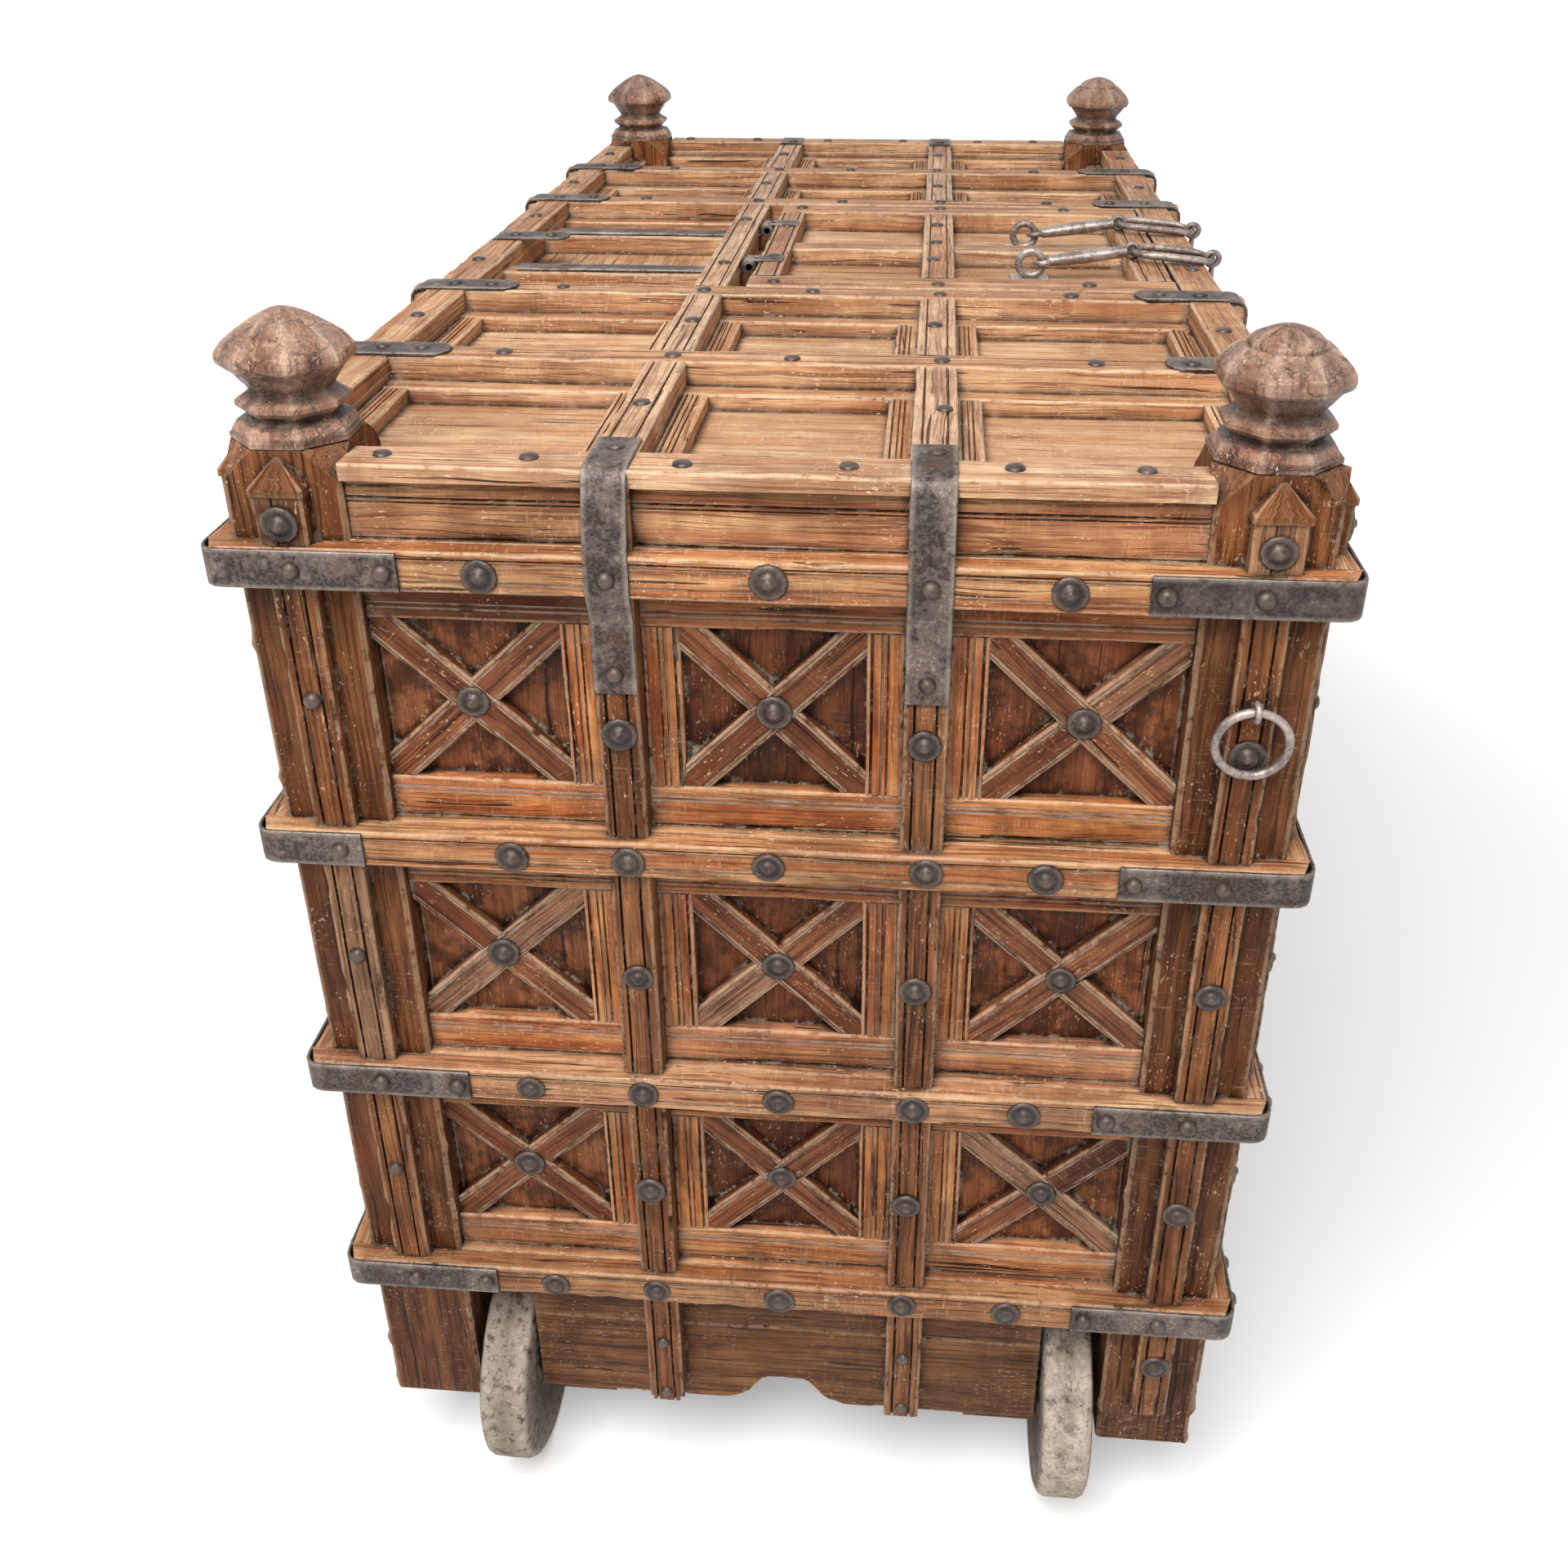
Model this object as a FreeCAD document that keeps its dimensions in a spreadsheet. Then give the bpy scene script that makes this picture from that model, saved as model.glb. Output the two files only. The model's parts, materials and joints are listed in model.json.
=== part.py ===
import FreeCAD, Part
import math
import os
import re

# Dowry chest on wheels: posts and belts outside, boarded walls, coffered top with a hinged hatch.
# X runs along the chest, the hasps face -Y, Z is up and the floor under the wheels is Z = 0.

doc = FreeCAD.newDocument("dowry_chest")

# Driving dimensions in millimetres
sizes = {
    # overall
    "chest_length": 1686,
    "chest_width": 920,
    # posts and finials
    "post_size": 98,
    "leg_bottom": 122.5,
    "shoulder_rise": 8,
    "tongue_height": 25,
    "finial_height": 103.5,
    "finial_radius": 51,
    # belts round the walls, and the rails behind them
    "belt_thick": 20,
    "belt_height": 36,
    "belt_first": 317,
    # wall boards, panel frames, crossed bars and battens
    "board_setback": 26,
    "board_thick": 22,
    "frame_setback": 12,
    "frame_bar": 40,
    "stile_width": 32,
    "cross_width": 26,
    "cross_thick": 12,
    "batten_width": 37,
    "batten_proud": 12,
    "batten_pitch": 257,
    "leg_batten_lift": 58,
    "groove_depth": 3,
    "groove_inset": 9.5,
    # frieze and top
    "frieze_setback": 6,
    "frieze_height": 52.5,
    "top_height": 1237.5,
    "bar_height": 40,
    "bar_width": 38,
    "crown_thick": 14.5,
    "crown_proud": 4,
    "edge_bar_width": 44,
    "top_board_thick": 18,
    "moulding_width": 24,
    "moulding_height": 16,
    # floor, skirts and running gear
    "floor_height": 340,
    "floor_thick": 22,
    "sill_height": 40,
    "bearer_width": 60,
    "bearer_spacing": 370,
    "skirt_bottom": 125.5,
    "skirt_thick": 24,
    "scallop_width": 140,
    "scallop_neck": 77,
    "scallop_crest": 35,
    "scallop_bend": 15.2,
    "scallop_height": 38,
    "scallop_bow": 5.1,
    "wheel_slot": 68,
    "wheel_radius": 125,
    "wheel_thick": 53,
    "wheel_edge": 8,
    "wheel_side_gap": 5,
    "axle_radius": 13,
    "axle_seat": 60,
    "axle_block_width": 80,
    "axle_block_drop": 32,
    "axle_block_thick": 78,
    "running_gap": 0.05,
    "side_play": 0.4,
    "pin_size": 6,
    "pin_length": 44,
    # iron straps
    "strap_thick": 3,
    "strap_margin": 1,
    "corner_arm_end": 162,
    "corner_arm_side": 100,
    "strap_width": 39,
    "strap_reach": 70,
    "strap_tail": 89.5,
    "strap_bend": 16,
    "clip_reach": 100,
    "clip_drop": 62,
    # peg blocks beside the finials
    "peg_width": 46,
    "peg_proud": 17,
    "peg_height": 34,
    "peg_roof": 20,
    "peg_tip": 3,
    # hatch and its hinges
    "hatch_gap": 4,
    "hatch_seat": 0.3,
    "hatch_ledge": 15,
    "hinge_gap": 22,
    "hatch_back_stile": 32,
    "hatch_front_stile": 39,
    "hatch_rail": 50,
    "hatch_middle_rail": 38,
    "hatch_rail_step": 6,
    "hatch_board_drop": 26,
    "hatch_board_thick": 13,
    "hinge_spread": 103,
    "hinge_width": 26,
    "hinge_thick": 4,
    "hinge_bearer_width": 34,
    "hinge_bearer_drop": 16,
    "hinge_end_gap": 16.5,
    "notch_gap": 0.5,
    "knuckle_radius": 9,
    "knuckle_width": 10,
    "knuckle_gap": 0.3,
    "hinge_pin_radius": 4,
    "leaf_thick": 2,
    "leaf_reach": 30,
    # hasps
    "hasp_spread": 80,
    "hasp_setback": 156,
    "hasp_plate": 46,
    "hasp_plate_thick": 3,
    "staple_radius": 14.5,
    "staple_wire": 4.5,
    "staple_sink": 2,
    "link_wire": 3.5,
    "link_gap": 0.4,
    "arm_length": 121,
    "arm_eye": 9,
    "arm_rod": 5.5,
    "pivot_eye": 7.5,
    "loop_radius": 24,
    "end_length": 50,
    "rest_gap": 0.3,
    # ring handles
    "ring_radius": 29.5,
    "ring_wire": 3.75,
    "ring_drop": 81.5,
    "ring_offset": 10,
    "ring_staple_wire": 2.75,
}

sheet = doc.addObject("Spreadsheet::Sheet", "Sizes")
for row, (alias, number) in enumerate(sizes.items(), start=1):
    sheet.set(f"A{row}", alias)
    sheet.set(f"B{row}", str(number))
    sheet.setAlias(f"B{row}", alias)
doc.recompute()


# Helpers that bind an object's sizes to the sheet

def bound(text):
    return re.sub(r"[a-z_]+", lambda word: f"Sizes.{word[0]}" if word[0] in sizes else word[0], text)


def value(text):
    return float(sheet.evalExpression(bound(text)))


def place(piece, x="0", y="0", z="0", axis=None, angle=0):
    if axis:
        piece.Placement = FreeCAD.Placement(FreeCAD.Vector(), FreeCAD.Rotation(FreeCAD.Vector(*axis), angle))
    for name, text in (("x", x), ("y", y), ("z", z)):
        piece.setExpression(f".Placement.Base.{name}", bound(text))
    return piece


def make(kind, name, **lengths):
    piece = doc.addObject(kind, name)
    for key, text in lengths.items():
        piece.setExpression(key, bound(text))
    return piece


def beam(name, x, y, z):
    # A straight timber or strap between three pairs of limits
    spans = [f"({high}) - ({low})" for low, high in (x, y, z)]
    piece = make("Part::Box", name, Length=spans[0], Width=spans[1], Height=spans[2])
    return place(piece, x[0], y[0], z[0])


def slab(name, across, depth, height):
    # A piece of one wall: depth counts outwards from the post faces, and the wall faces -Y
    return beam(name, across, (f"-({depth[1]})", f"-({depth[0]})"), height)


def group(name, pieces):
    piece = doc.addObject("Part::Compound", name)
    piece.Links = pieces
    return piece


def cut(name, base, tool):
    piece = doc.addObject("Part::Cut", name)
    piece.Base = base
    piece.Tool = tool
    return piece


def fuse(name, pieces):
    piece = doc.addObject("Part::MultiFuse", name)
    piece.Shapes = pieces
    piece.Refine = True
    return piece


def again(name, source, x="0", y="0", z="0", axis=None, angle=0):
    piece = doc.addObject("App::Link", name)
    piece.LinkedObject = source
    piece.LinkTransform = True
    return place(piece, x, y, z, axis, angle)


def turned(name, source):
    # The same piece at the opposite side of the chest
    return again(name, source, axis=(0, 0, 1), angle=180)


def solid(name, shape):
    piece = doc.addObject("Part::Feature", name)
    piece.Shape = shape
    return piece


def flat_face(corners):
    return Part.Face(Part.makePolygon(corners + corners[:1]))


def prism(points, direction):
    return flat_face([FreeCAD.Vector(*point) for point in points]).extrude(FreeCAD.Vector(*direction))


def enclosed(rings, ends):
    # A solid of flat faces between each ring of corners and the one before it
    faces = [flat_face(ring) for ring in ends]
    for near, far in zip(rings, rings[1:]):
        faces += [flat_face([near[k - 1], near[k], far[k], far[k - 1]]) for k in range(len(near))]
    return Part.Solid(Part.Shell(faces))


def round_points(radius, count, height=0.0, start=0.0):
    angles = [2 * math.pi * (step + start) / count for step in range(count)]
    return [FreeCAD.Vector(radius * math.cos(angle), radius * math.sin(angle), height) for angle in angles]


def faceted(outline, count):
    # A turned piece with flat sides: radius and height pairs, each radius measured to the flats
    corner = 1 / math.cos(math.pi / count)
    rings = [round_points(radius * corner, count, height, 0.5) for radius, height in outline]
    return enclosed(rings, (rings[0], rings[-1]))


def closed_link(path, wire):
    # Bar of six sides along a closed path that lies in the XY plane, mitred at every bend
    up = FreeCAD.Vector(0, 0, 1)
    rings = []
    for step, point in enumerate(path):
        arriving = (point - path[step - 1]).normalize()
        leaving = (path[(step + 1) % len(path)] - point).normalize()
        outward = (arriving + leaving).cross(up).normalize()
        spread = wire / math.cos(arriving.getAngle(leaving) / 2)
        rings.append([point + outward * corner.x * spread + up * corner.y * wire
                      for corner in round_points(1, bar_sides)])
    return enclosed(rings + rings[:1], ())


nodes = {}


def node(label, *pieces):
    piece = group(f"node_{label}", list(pieces))
    piece.Label = label
    nodes[label] = piece
    return piece


def level_groove(name, across, face, height):
    # A V groove run along the face of a belt or bar
    side = "groove_depth * sqrt(2)"
    tool = make("Part::Box", name, Length=f"({across[1]}) - ({across[0]})", Width=side, Height=side)
    return place(tool, across[0], face, f"({height}) - groove_depth", (1, 0, 0), 45)


# Counts of flat sides on forged bars, links and eyes, and on the wheels
bar_sides = 6
eye_sides = 12
ring_sides = 16
wheel_sides = 24
journal_sides = 16
knuckle_sides = 8
hinge_pin_sides = 12

# Shared places

post_face_x = "(chest_length/2 - belt_thick)"
post_face_y = "(chest_width/2 - belt_thick)"
post_x = f"({post_face_x} - post_size/2)"
post_y = f"({post_face_y} - post_size/2)"
post_in_x = f"({post_face_x} - post_size)"
post_in_y = f"({post_face_y} - post_size)"
board_x = f"({post_face_x} - board_setback)"
board_y = f"({post_face_y} - board_setback)"
inside_x = f"({board_x} - board_thick)"
inside_y = f"({board_y} - board_thick)"
bar_foot = "(top_height - bar_height)"
crown_foot = "(top_height - crown_thick)"
shoulder = "(top_height + shoulder_rise)"
belt_top = f"({crown_foot} - frieze_height)"
belt_foot = f"({belt_top} - belt_height)"
belt_pitch = f"(({belt_foot} - belt_first)/3)"
edge_out_x = f"({post_face_x} + crown_proud)"
edge_out_y = f"({post_face_y} + crown_proud)"
edge_in_x = f"({edge_out_x} - edge_bar_width)"
edge_in_y = f"({edge_out_y} - edge_bar_width)"
end_skirt_half = f"({post_in_y} - wheel_slot)"
levels = range(4)
rows = range(3)
sides = {"front": (0, "0", f"-{post_face_y}"), "back": (180, "0", post_face_y),
         "left": (-90, f"-{post_face_x}", "0"), "right": (90, post_face_x, "0")}


def on_wall(name, source, side):
    angle, x, y = sides[side]
    return again(f"{name}_{side}", source, x, y, axis=(0, 0, 1), angle=angle)


def up_rows(name, source, count):
    copies = [again(f"{name}_{step}", source, z=f"{step}*{belt_pitch}") for step in count if step]
    return group(f"{name}_all", [source] + copies)


# Corner posts: leg, post and eight-sided finial are one timber

# Finial outlines as pairs of rise and spread, shares of the finial's height and radius
rings_below = [(0.0, 0.94), (0.05, 0.94), (0.15, 0.82), (0.165, 0.66), (0.26, 0.83), (0.3, 0.83),
               (0.37, 0.62)]
pointed = rings_below + [(0.5, 0.79), (0.62, 0.99), (0.67, 1.0), (0.775, 0.84), (0.91, 0.47), (0.96, 0.27),
                         (1.0, 0.09)]
domed = rings_below + [(0.48, 0.76), (0.6, 0.93), (0.66, 0.97), (0.78, 0.82), (0.85, 0.64), (0.86, 0.55),
                       (0.93, 0.43), (1.0, 0.15)]
finial_sides = 8


def post(name, outline):
    half = "post_size/2"
    shaft = beam(f"{name}_shaft", (f"-{half}", half), (f"-{half}", half), ("leg_bottom", shoulder))
    corner = value("post_size / sqrt(2)")
    tongue = [(corner, value("leg_bottom")), (corner, value(f"{shoulder} - tongue_height")),
              (value(half), value(shoulder))]
    shaped = doc.addObject("Part::Common", f"{name}_shaped")
    shaped.Base = shaft
    shaped.Tool = solid(f"{name}_tongue", faceted(tongue, finial_sides))
    rings = [(value(f"{spread}*finial_radius"), value(f"{shoulder} + {rise}*finial_height"))
             for rise, spread in outline]
    return fuse(name, [shaped, solid(f"{name}_finial", faceted(rings, finial_sides))])


pointed_post = post("pointed_post", pointed)
domed_post = post("domed_post", domed)
for end, sign_x in (("left", "-"), ("right", "")):
    for side, sign_y, source in (("front", "-", domed_post), ("back", "", pointed_post)):
        label = f"corner_post_{side}_{end}"
        node(label, again(f"{label}_copy", source, f"{sign_x}{post_x}", f"{sign_y}{post_y}"))


# One wall of each kind, drawn facing -Y with the post faces at Y = 0

def crossed_bars(name, across, height):
    # Two bars from corner to corner of a field, one whole and one in two halves against it
    half_width = value(f"(({across[1]}) - ({across[0]}))/2")
    half_height = value(f"(({height[1]}) - ({height[0]}))/2")
    slope = math.atan2(half_height, half_width)
    run = value("cross_width") / 2 / math.sin(slope)
    rise = value("cross_width") / 2 / math.cos(slope)
    whole = [(half_width, half_height), (half_width - run, half_height), (-half_width, rise - half_height),
             (-half_width, -half_height), (run - half_width, -half_height), (half_width, half_height - rise)]
    part_bar = [(half_width, -half_height), (half_width, rise - half_height), (run, 0), (0, -rise),
                (half_width - run, -half_height)]
    other = [(-u, -w) for u, w in part_bar]
    face = value("board_setback - cross_thick")
    bars = [prism([(u, face, w) for u, w in outline], (0, value("cross_thick"), 0))
            for outline in (whole, part_bar, other)]
    piece = solid(name, Part.makeCompound(bars))
    return place(piece, f"(({across[0]}) + ({across[1]}))/2", "0", f"(({height[0]}) + ({height[1]}))/2")


def panels(kind, half, battens, row):
    # Frames and crossed bars of every field between the battens: beside a post the frame has no stile
    field = (f"{row[0]} + frame_bar", f"{row[1]} - frame_bar")
    frame_depth = ("-board_setback", "-frame_setback")
    lefts = [f"-{half}"] + [f"{step}*batten_pitch + batten_width/2" for step in battens]
    rights = [f"{step}*batten_pitch - batten_width/2" for step in battens] + [half]
    frames = []
    crosses = []
    for column, (left, right) in enumerate(zip(lefts, rights)):
        name = f"{kind}_column_{column}"
        bars = [slab(f"{name}_low_bar", (left, right), frame_depth, (row[0], field[0])),
                slab(f"{name}_high_bar", (left, right), frame_depth, (field[1], row[1]))]
        opening = (left, right)
        if column > 0:
            opening = (f"{left} + stile_width", right)
            bars.append(slab(f"{name}_left_stile", (left, opening[0]), frame_depth, field))
        if column < len(battens):
            opening = (opening[0], f"{right} - stile_width")
            bars.append(slab(f"{name}_right_stile", (opening[1], right), frame_depth, field))
        frames.append(fuse(f"{name}_frame", bars))
        crosses.append(crossed_bars(f"{name}_cross", opening, field))
    return {"frames": up_rows(f"{kind}_frames", group(f"{kind}_frame", frames), rows),
            "crosses": up_rows(f"{kind}_crosses", group(f"{kind}_cross", crosses), rows)}


def wall(kind, half, battens, skirt_half, leg_sides, panelled=True):
    row = ("belt_first + belt_height", f"belt_first + {belt_pitch}")
    # Battens: on the walls in every row, on the frieze and the skirt, and on the posts and legs
    strips = []
    extra = []
    back_of_strip = "-frame_setback" if panelled else "-board_setback"
    for step in battens:
        name = f"{kind}_batten_{step}".replace("-", "minus_").replace(".", "_")
        width = (f"{step}*batten_pitch - batten_width/2", f"{step}*batten_pitch + batten_width/2")
        strips.append(slab(name, width, (back_of_strip, "batten_proud"), row))
        extra.append(slab(f"{name}_frieze", width, ("-frieze_setback", "crown_proud"),
                          (belt_top, crown_foot)))
        extra.append(slab(f"{name}_skirt", width, ("-frame_setback", "batten_proud"),
                          ("skirt_bottom", "belt_first")))
    for side, sign in (("left", "-"), ("right", "")):
        middle = f"{sign}({half} + post_size/2)"
        name = f"{kind}_{side}_post_batten"
        width = (f"{middle} - batten_width/2", f"{middle} + batten_width/2")
        strips.append(slab(name, width, ("0", "batten_proud"), row))
        if side in leg_sides:
            leg = ("leg_bottom + leg_batten_lift", "belt_first")
            extra.append(slab(f"{name}_leg", width, ("0", "batten_proud"), leg))
    upright = up_rows(f"{kind}_strips", group(f"{kind}_strip", strips), rows)

    # Rails between the posts, upright boards behind them, and the frieze above the highest belt
    rail = slab(f"{kind}_rail", (f"-{half}", half), ("-board_setback", "0"),
                ("belt_first", "belt_first + belt_height"))
    joints = [f"-{half}"] + [f"{step}*batten_pitch" for step in battens] + [half]
    boards = []
    for number, (left, right) in enumerate(zip(joints, joints[1:])):
        boards.append(slab(f"{kind}_board_{number}", (left, right),
                           ("-board_setback - board_thick", "-board_setback"),
                           ("belt_first", f"{bar_foot} - top_board_thick")))
    frieze = slab(f"{kind}_frieze_plain", (f"-{half}", half), ("-board_setback", "-frieze_setback"),
                  (belt_top, crown_foot))
    line_high = f"({belt_top} + {crown_foot})/2 + groove_inset"
    line_low = f"({belt_top} + {crown_foot})/2 - groove_inset"
    frieze_lines = [level_groove(f"{kind}_frieze_{name}", (f"-{half}", half), "frieze_setback", height)
                    for name, height in (("high", line_high), ("low", line_low))]
    pieces = {
        "battens": group(f"{kind}_battens", [upright] + extra),
        "rails": up_rows(f"{kind}_rails", rail, levels),
        "boards": group(f"{kind}_boards", boards),
        "frieze": cut(f"{kind}_frieze", frieze, group(f"{kind}_frieze_lines", frieze_lines)),
        "skirt": skirt_board(f"{kind}_skirt", skirt_half),
    }
    if panelled:
        pieces.update(panels(kind, half, battens, row))
    return pieces


def skirt_board(name, half):
    # A plank on edge with an ogee scallop in the middle of its lower edge
    end = value(half)
    low = value("skirt_bottom")
    high = value("belt_first")
    bow = value("scallop_bow")
    mouth, neck, crest = [FreeCAD.Vector(value(f"scallop_{word}/2"), 0, low + rise)
                          for word, rise in (("width", 0), ("neck", value("scallop_bend")),
                                             ("crest", value("scallop_height")))]

    def arc(first, last, side):
        # Bowed by the same amount, to the left of its run or to the right
        across = (last - first).cross(FreeCAD.Vector(0, 1, 0)).normalize()
        return Part.Arc(first, (first + last) / 2 + across * bow * side, last).toShape()

    def line(first, last):
        return Part.LineSegment(first, last).toShape()

    def other(point):
        return FreeCAD.Vector(-point.x, 0, point.z)

    top = FreeCAD.Vector(end, 0, high)
    foot = FreeCAD.Vector(end, 0, low)
    edges = [line(other(top), top), line(top, foot), line(foot, mouth),
             arc(mouth, neck, 1), arc(neck, crest, -1), line(crest, other(crest)),
             arc(other(crest), other(neck), -1), arc(other(neck), other(mouth), 1),
             line(other(mouth), other(foot)), line(other(foot), other(top))]
    shape = Part.Face(Part.Wire(edges)).extrude(FreeCAD.Vector(0, value("skirt_thick"), 0))
    return place(solid(name, shape), y="frame_setback")


# The ends and the front are panelled, and the back, which stands against a wall, is plain
end_wall = wall("end", post_in_y, (-0.5, 0.5), end_skirt_half, ("right",))
side_battens = (-2, -1, 0, 1, 2)
both_legs = ("left", "right")
walls = {"left": end_wall, "right": end_wall,
         "front": wall("front", post_in_x, side_battens, post_in_x, both_legs),
         "back": wall("back", post_in_x, side_battens, post_in_x, both_legs, panelled=False)}
for word, both in (("ends", ("left", "right")), ("sides", ("front", "back"))):
    for piece, label in (("frames", f"panel_frames_{word}"), ("crosses", f"crossed_bars_{word}"),
                         ("battens", f"battens_{word}"), ("skirt", f"{word[:-1]}_skirts")):
        node(label, *[on_wall(label, walls[side][piece], side) for side in both if piece in walls[side]])
for piece, label in (("rails", "wall_rails"), ("frieze", "frieze_boards")):
    node(label, *[on_wall(label, walls[side][piece], side) for side in walls])
for side in walls:
    node(f"wall_boards_{side}", on_wall("wall_boards", walls[side]["boards"], side))

# Belts: the end belts cover the ends of the side belts
for word, half, both in (("end", "chest_width/2", ("left", "right")),
                         ("side", post_face_x, ("front", "back"))):
    belt = slab(f"{word}_belt_plain", (f"-{half}", half), ("0", "belt_thick"),
                ("belt_first", "belt_first + belt_height"))
    lines = [level_groove(f"{word}_belt_{name}", (f"-{half}", half), "-belt_thick", f"belt_first + {height}")
             for name, height in (("low", "groove_inset"), ("high", "belt_height - groove_inset"))]
    belts = up_rows(f"{word}_belts", cut(f"{word}_belt", belt, group(f"{word}_belt_lines", lines)), levels)
    for side in both:
        node(f"belts_{side}", on_wall("belts", belts, side))

# Floor on sills between the posts
sill = ("floor_height - sill_height", "floor_height")
side_sill = beam("side_sill", (f"-{post_in_x}", post_in_x), (post_in_y, inside_y), sill)
end_sill = beam("end_sill", (post_in_x, inside_x), (f"-{post_in_y}", post_in_y), sill)
bearers = [beam(f"floor_bearer_{step + 1}", (f"{step}*bearer_spacing - bearer_width/2",
                                             f"{step}*bearer_spacing + bearer_width/2"),
                (f"-{post_in_y}", post_in_y), sill) for step in (-1, 0, 1)]
node("floor_frame", side_sill, turned("side_sill_back", side_sill), end_sill,
     turned("end_sill_left", end_sill), *bearers)
corner_level = ("leg_bottom", "top_height")
corner_pair = group("post_corners_right", [
    beam("post_corner_back", (post_in_x, post_face_x), (post_in_y, post_face_y), corner_level),
    beam("post_corner_front", (post_in_x, post_face_x), (f"-{post_face_y}", f"-{post_in_y}"), corner_level)])
all_corners = group("post_corners", [corner_pair, turned("post_corners_left", corner_pair)])
planks = [beam(f"floor_plank_{number}", (f"-{inside_x}", inside_x),
               (f"{inside_y}*{number - 2}/2", f"{inside_y}*{number - 1}/2"),
               ("floor_height", "floor_height + floor_thick"))
          for number in range(4)]
node("floor_boards", cut("floor_planks", group("floor_planks_plain", planks), all_corners))

# Top: boards, edge bars with a rebate over the frieze, lapped bars and coffer mouldings
hatch_x = "(batten_pitch - bar_width/2 - hatch_gap)"
hatch_back = "(batten_pitch/2 - bar_width/2 - hinge_gap)"
hatch_front = f"({edge_in_y} - hatch_gap)"
mouth_x = f"({hatch_x} - hatch_ledge)"
board_level = (f"{bar_foot} - top_board_thick", bar_foot)
bar_level = (bar_foot, "top_height")
outer = beam("top_board_outer", ("2*batten_pitch", board_x), (f"-{board_y}", board_y), board_level)
inner = beam("top_board_inner", (mouth_x, "2*batten_pitch"), (f"-{board_y}", board_y), board_level)
right_boards = cut("top_boards_trimmed", group("top_boards_plain", [outer, inner]), all_corners)
node("top_boards_right", right_boards)
node("top_boards_left", turned("top_boards_turned", right_boards))
mouth_span = (f"-{mouth_x}", mouth_x)
node("top_boards_middle",
     beam("top_board_back", mouth_span, (f"{hatch_back} - hatch_ledge", board_y), board_level),
     beam("top_board_front", mouth_span, (f"-{board_y}", f"-({hatch_front} - hatch_ledge)"), board_level))

rebate_level = (bar_foot, crown_foot)
side_edge = cut("side_edge_bar",
                beam("side_edge_plain", (f"-{post_in_x}", post_in_x), (edge_in_y, edge_out_y), bar_level),
                beam("side_edge_rebate", (f"-{post_in_x}", post_in_x), (board_y, edge_out_y), rebate_level))
node("side_edge_bars", side_edge, turned("side_edge_front", side_edge))
end_edge = cut("end_edge_bar",
               beam("end_edge_plain", (edge_in_x, edge_out_x), (f"-{post_in_y}", post_in_y), bar_level),
               beam("end_edge_rebate", (board_x, edge_out_x), (f"-{post_in_y}", post_in_y), rebate_level))
node("end_edge_bars", end_edge, turned("end_edge_left", end_edge))

cross_steps = (-2, -1, 1, 2)
cross_spans = [(f"{step}*batten_pitch - bar_width/2", f"{step}*batten_pitch + bar_width/2")
               for step in cross_steps]
cross_run = (f"-{edge_in_y}", edge_in_y)
lap_level = f"({bar_foot} + top_height)/2"
cross_plain = group("cross_bars_plain", [beam(f"cross_bar_{number}", span, cross_run, bar_level)
                                         for number, span in enumerate(cross_spans)])
laps = group("cross_laps", [beam(f"cross_lap_{number}", span, cross_run, (lap_level, "top_height"))
                            for number, span in enumerate(cross_spans)])
front_span = ("-batten_pitch/2 - bar_width/2", "-batten_pitch/2 + bar_width/2")
back_span = ("batten_pitch/2 - bar_width/2", "batten_pitch/2 + bar_width/2")
hatch_bay = "(batten_pitch - bar_width/2)"
long_plain = group("long_bars_plain", [
    beam("long_bar_back", (f"-{edge_in_x}", edge_in_x), back_span, bar_level),
    beam("long_bar_front_left", (f"-{edge_in_x}", f"-{hatch_bay}"), front_span, bar_level),
    beam("long_bar_front_right", (hatch_bay, edge_in_x), front_span, bar_level)])
strap_top = "(top_height - hinge_bearer_drop + hinge_thick)"
bearer_spans = {name: (f"{middle} - hinge_bearer_width/2", f"{middle} + hinge_bearer_width/2")
                for name, middle in (("left", "-hinge_spread"), ("right", "hinge_spread"))}
notches = [beam(f"hinge_notch_{name}", span, back_span, (bar_foot, f"{strap_top} + notch_gap"))
           for name, span in bearer_spans.items()]
long_bars = cut("long_bars_lapped", long_plain, group("long_bar_cuts", [laps] + notches))
node("long_bars", long_bars)
long_run = (f"-{edge_in_x}", edge_in_x)
node("cross_bars", cut("cross_bars_lapped", cross_plain, group("long_bars_low", [
    beam("cross_notch_front", long_run, front_span, (bar_foot, lap_level)),
    beam("cross_notch_back", long_run, back_span, (bar_foot, lap_level))])))

moulding_level = (bar_foot, f"{bar_foot} + moulding_height")
bays_x = (("2*batten_pitch + bar_width/2", edge_in_x),
          ("batten_pitch + bar_width/2", "2*batten_pitch - bar_width/2"))
bays_y = ((f"-{edge_in_y}", front_span[0]), (front_span[1], back_span[0]), (back_span[1], edge_in_y))
bay_frames = []
for number_x, (low_x, high_x) in enumerate(bays_x):
    for number_y, (low_y, high_y) in enumerate(bays_y):
        name = f"moulding_{number_x}_{number_y}"
        between = (f"{low_x} + moulding_width", f"{high_x} - moulding_width")
        strips = [beam(f"{name}_a", (low_x, between[0]), (low_y, high_y), moulding_level),
                  beam(f"{name}_b", (between[1], high_x), (low_y, high_y), moulding_level),
                  beam(f"{name}_c", between, (low_y, f"{low_y} + moulding_width"), moulding_level),
                  beam(f"{name}_d", between, (f"{high_y} - moulding_width", high_y), moulding_level)]
        bay_frames.append(fuse(name, strips))
right_bays = cut("mouldings_right", group("mouldings_plain", bay_frames), all_corners)
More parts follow.
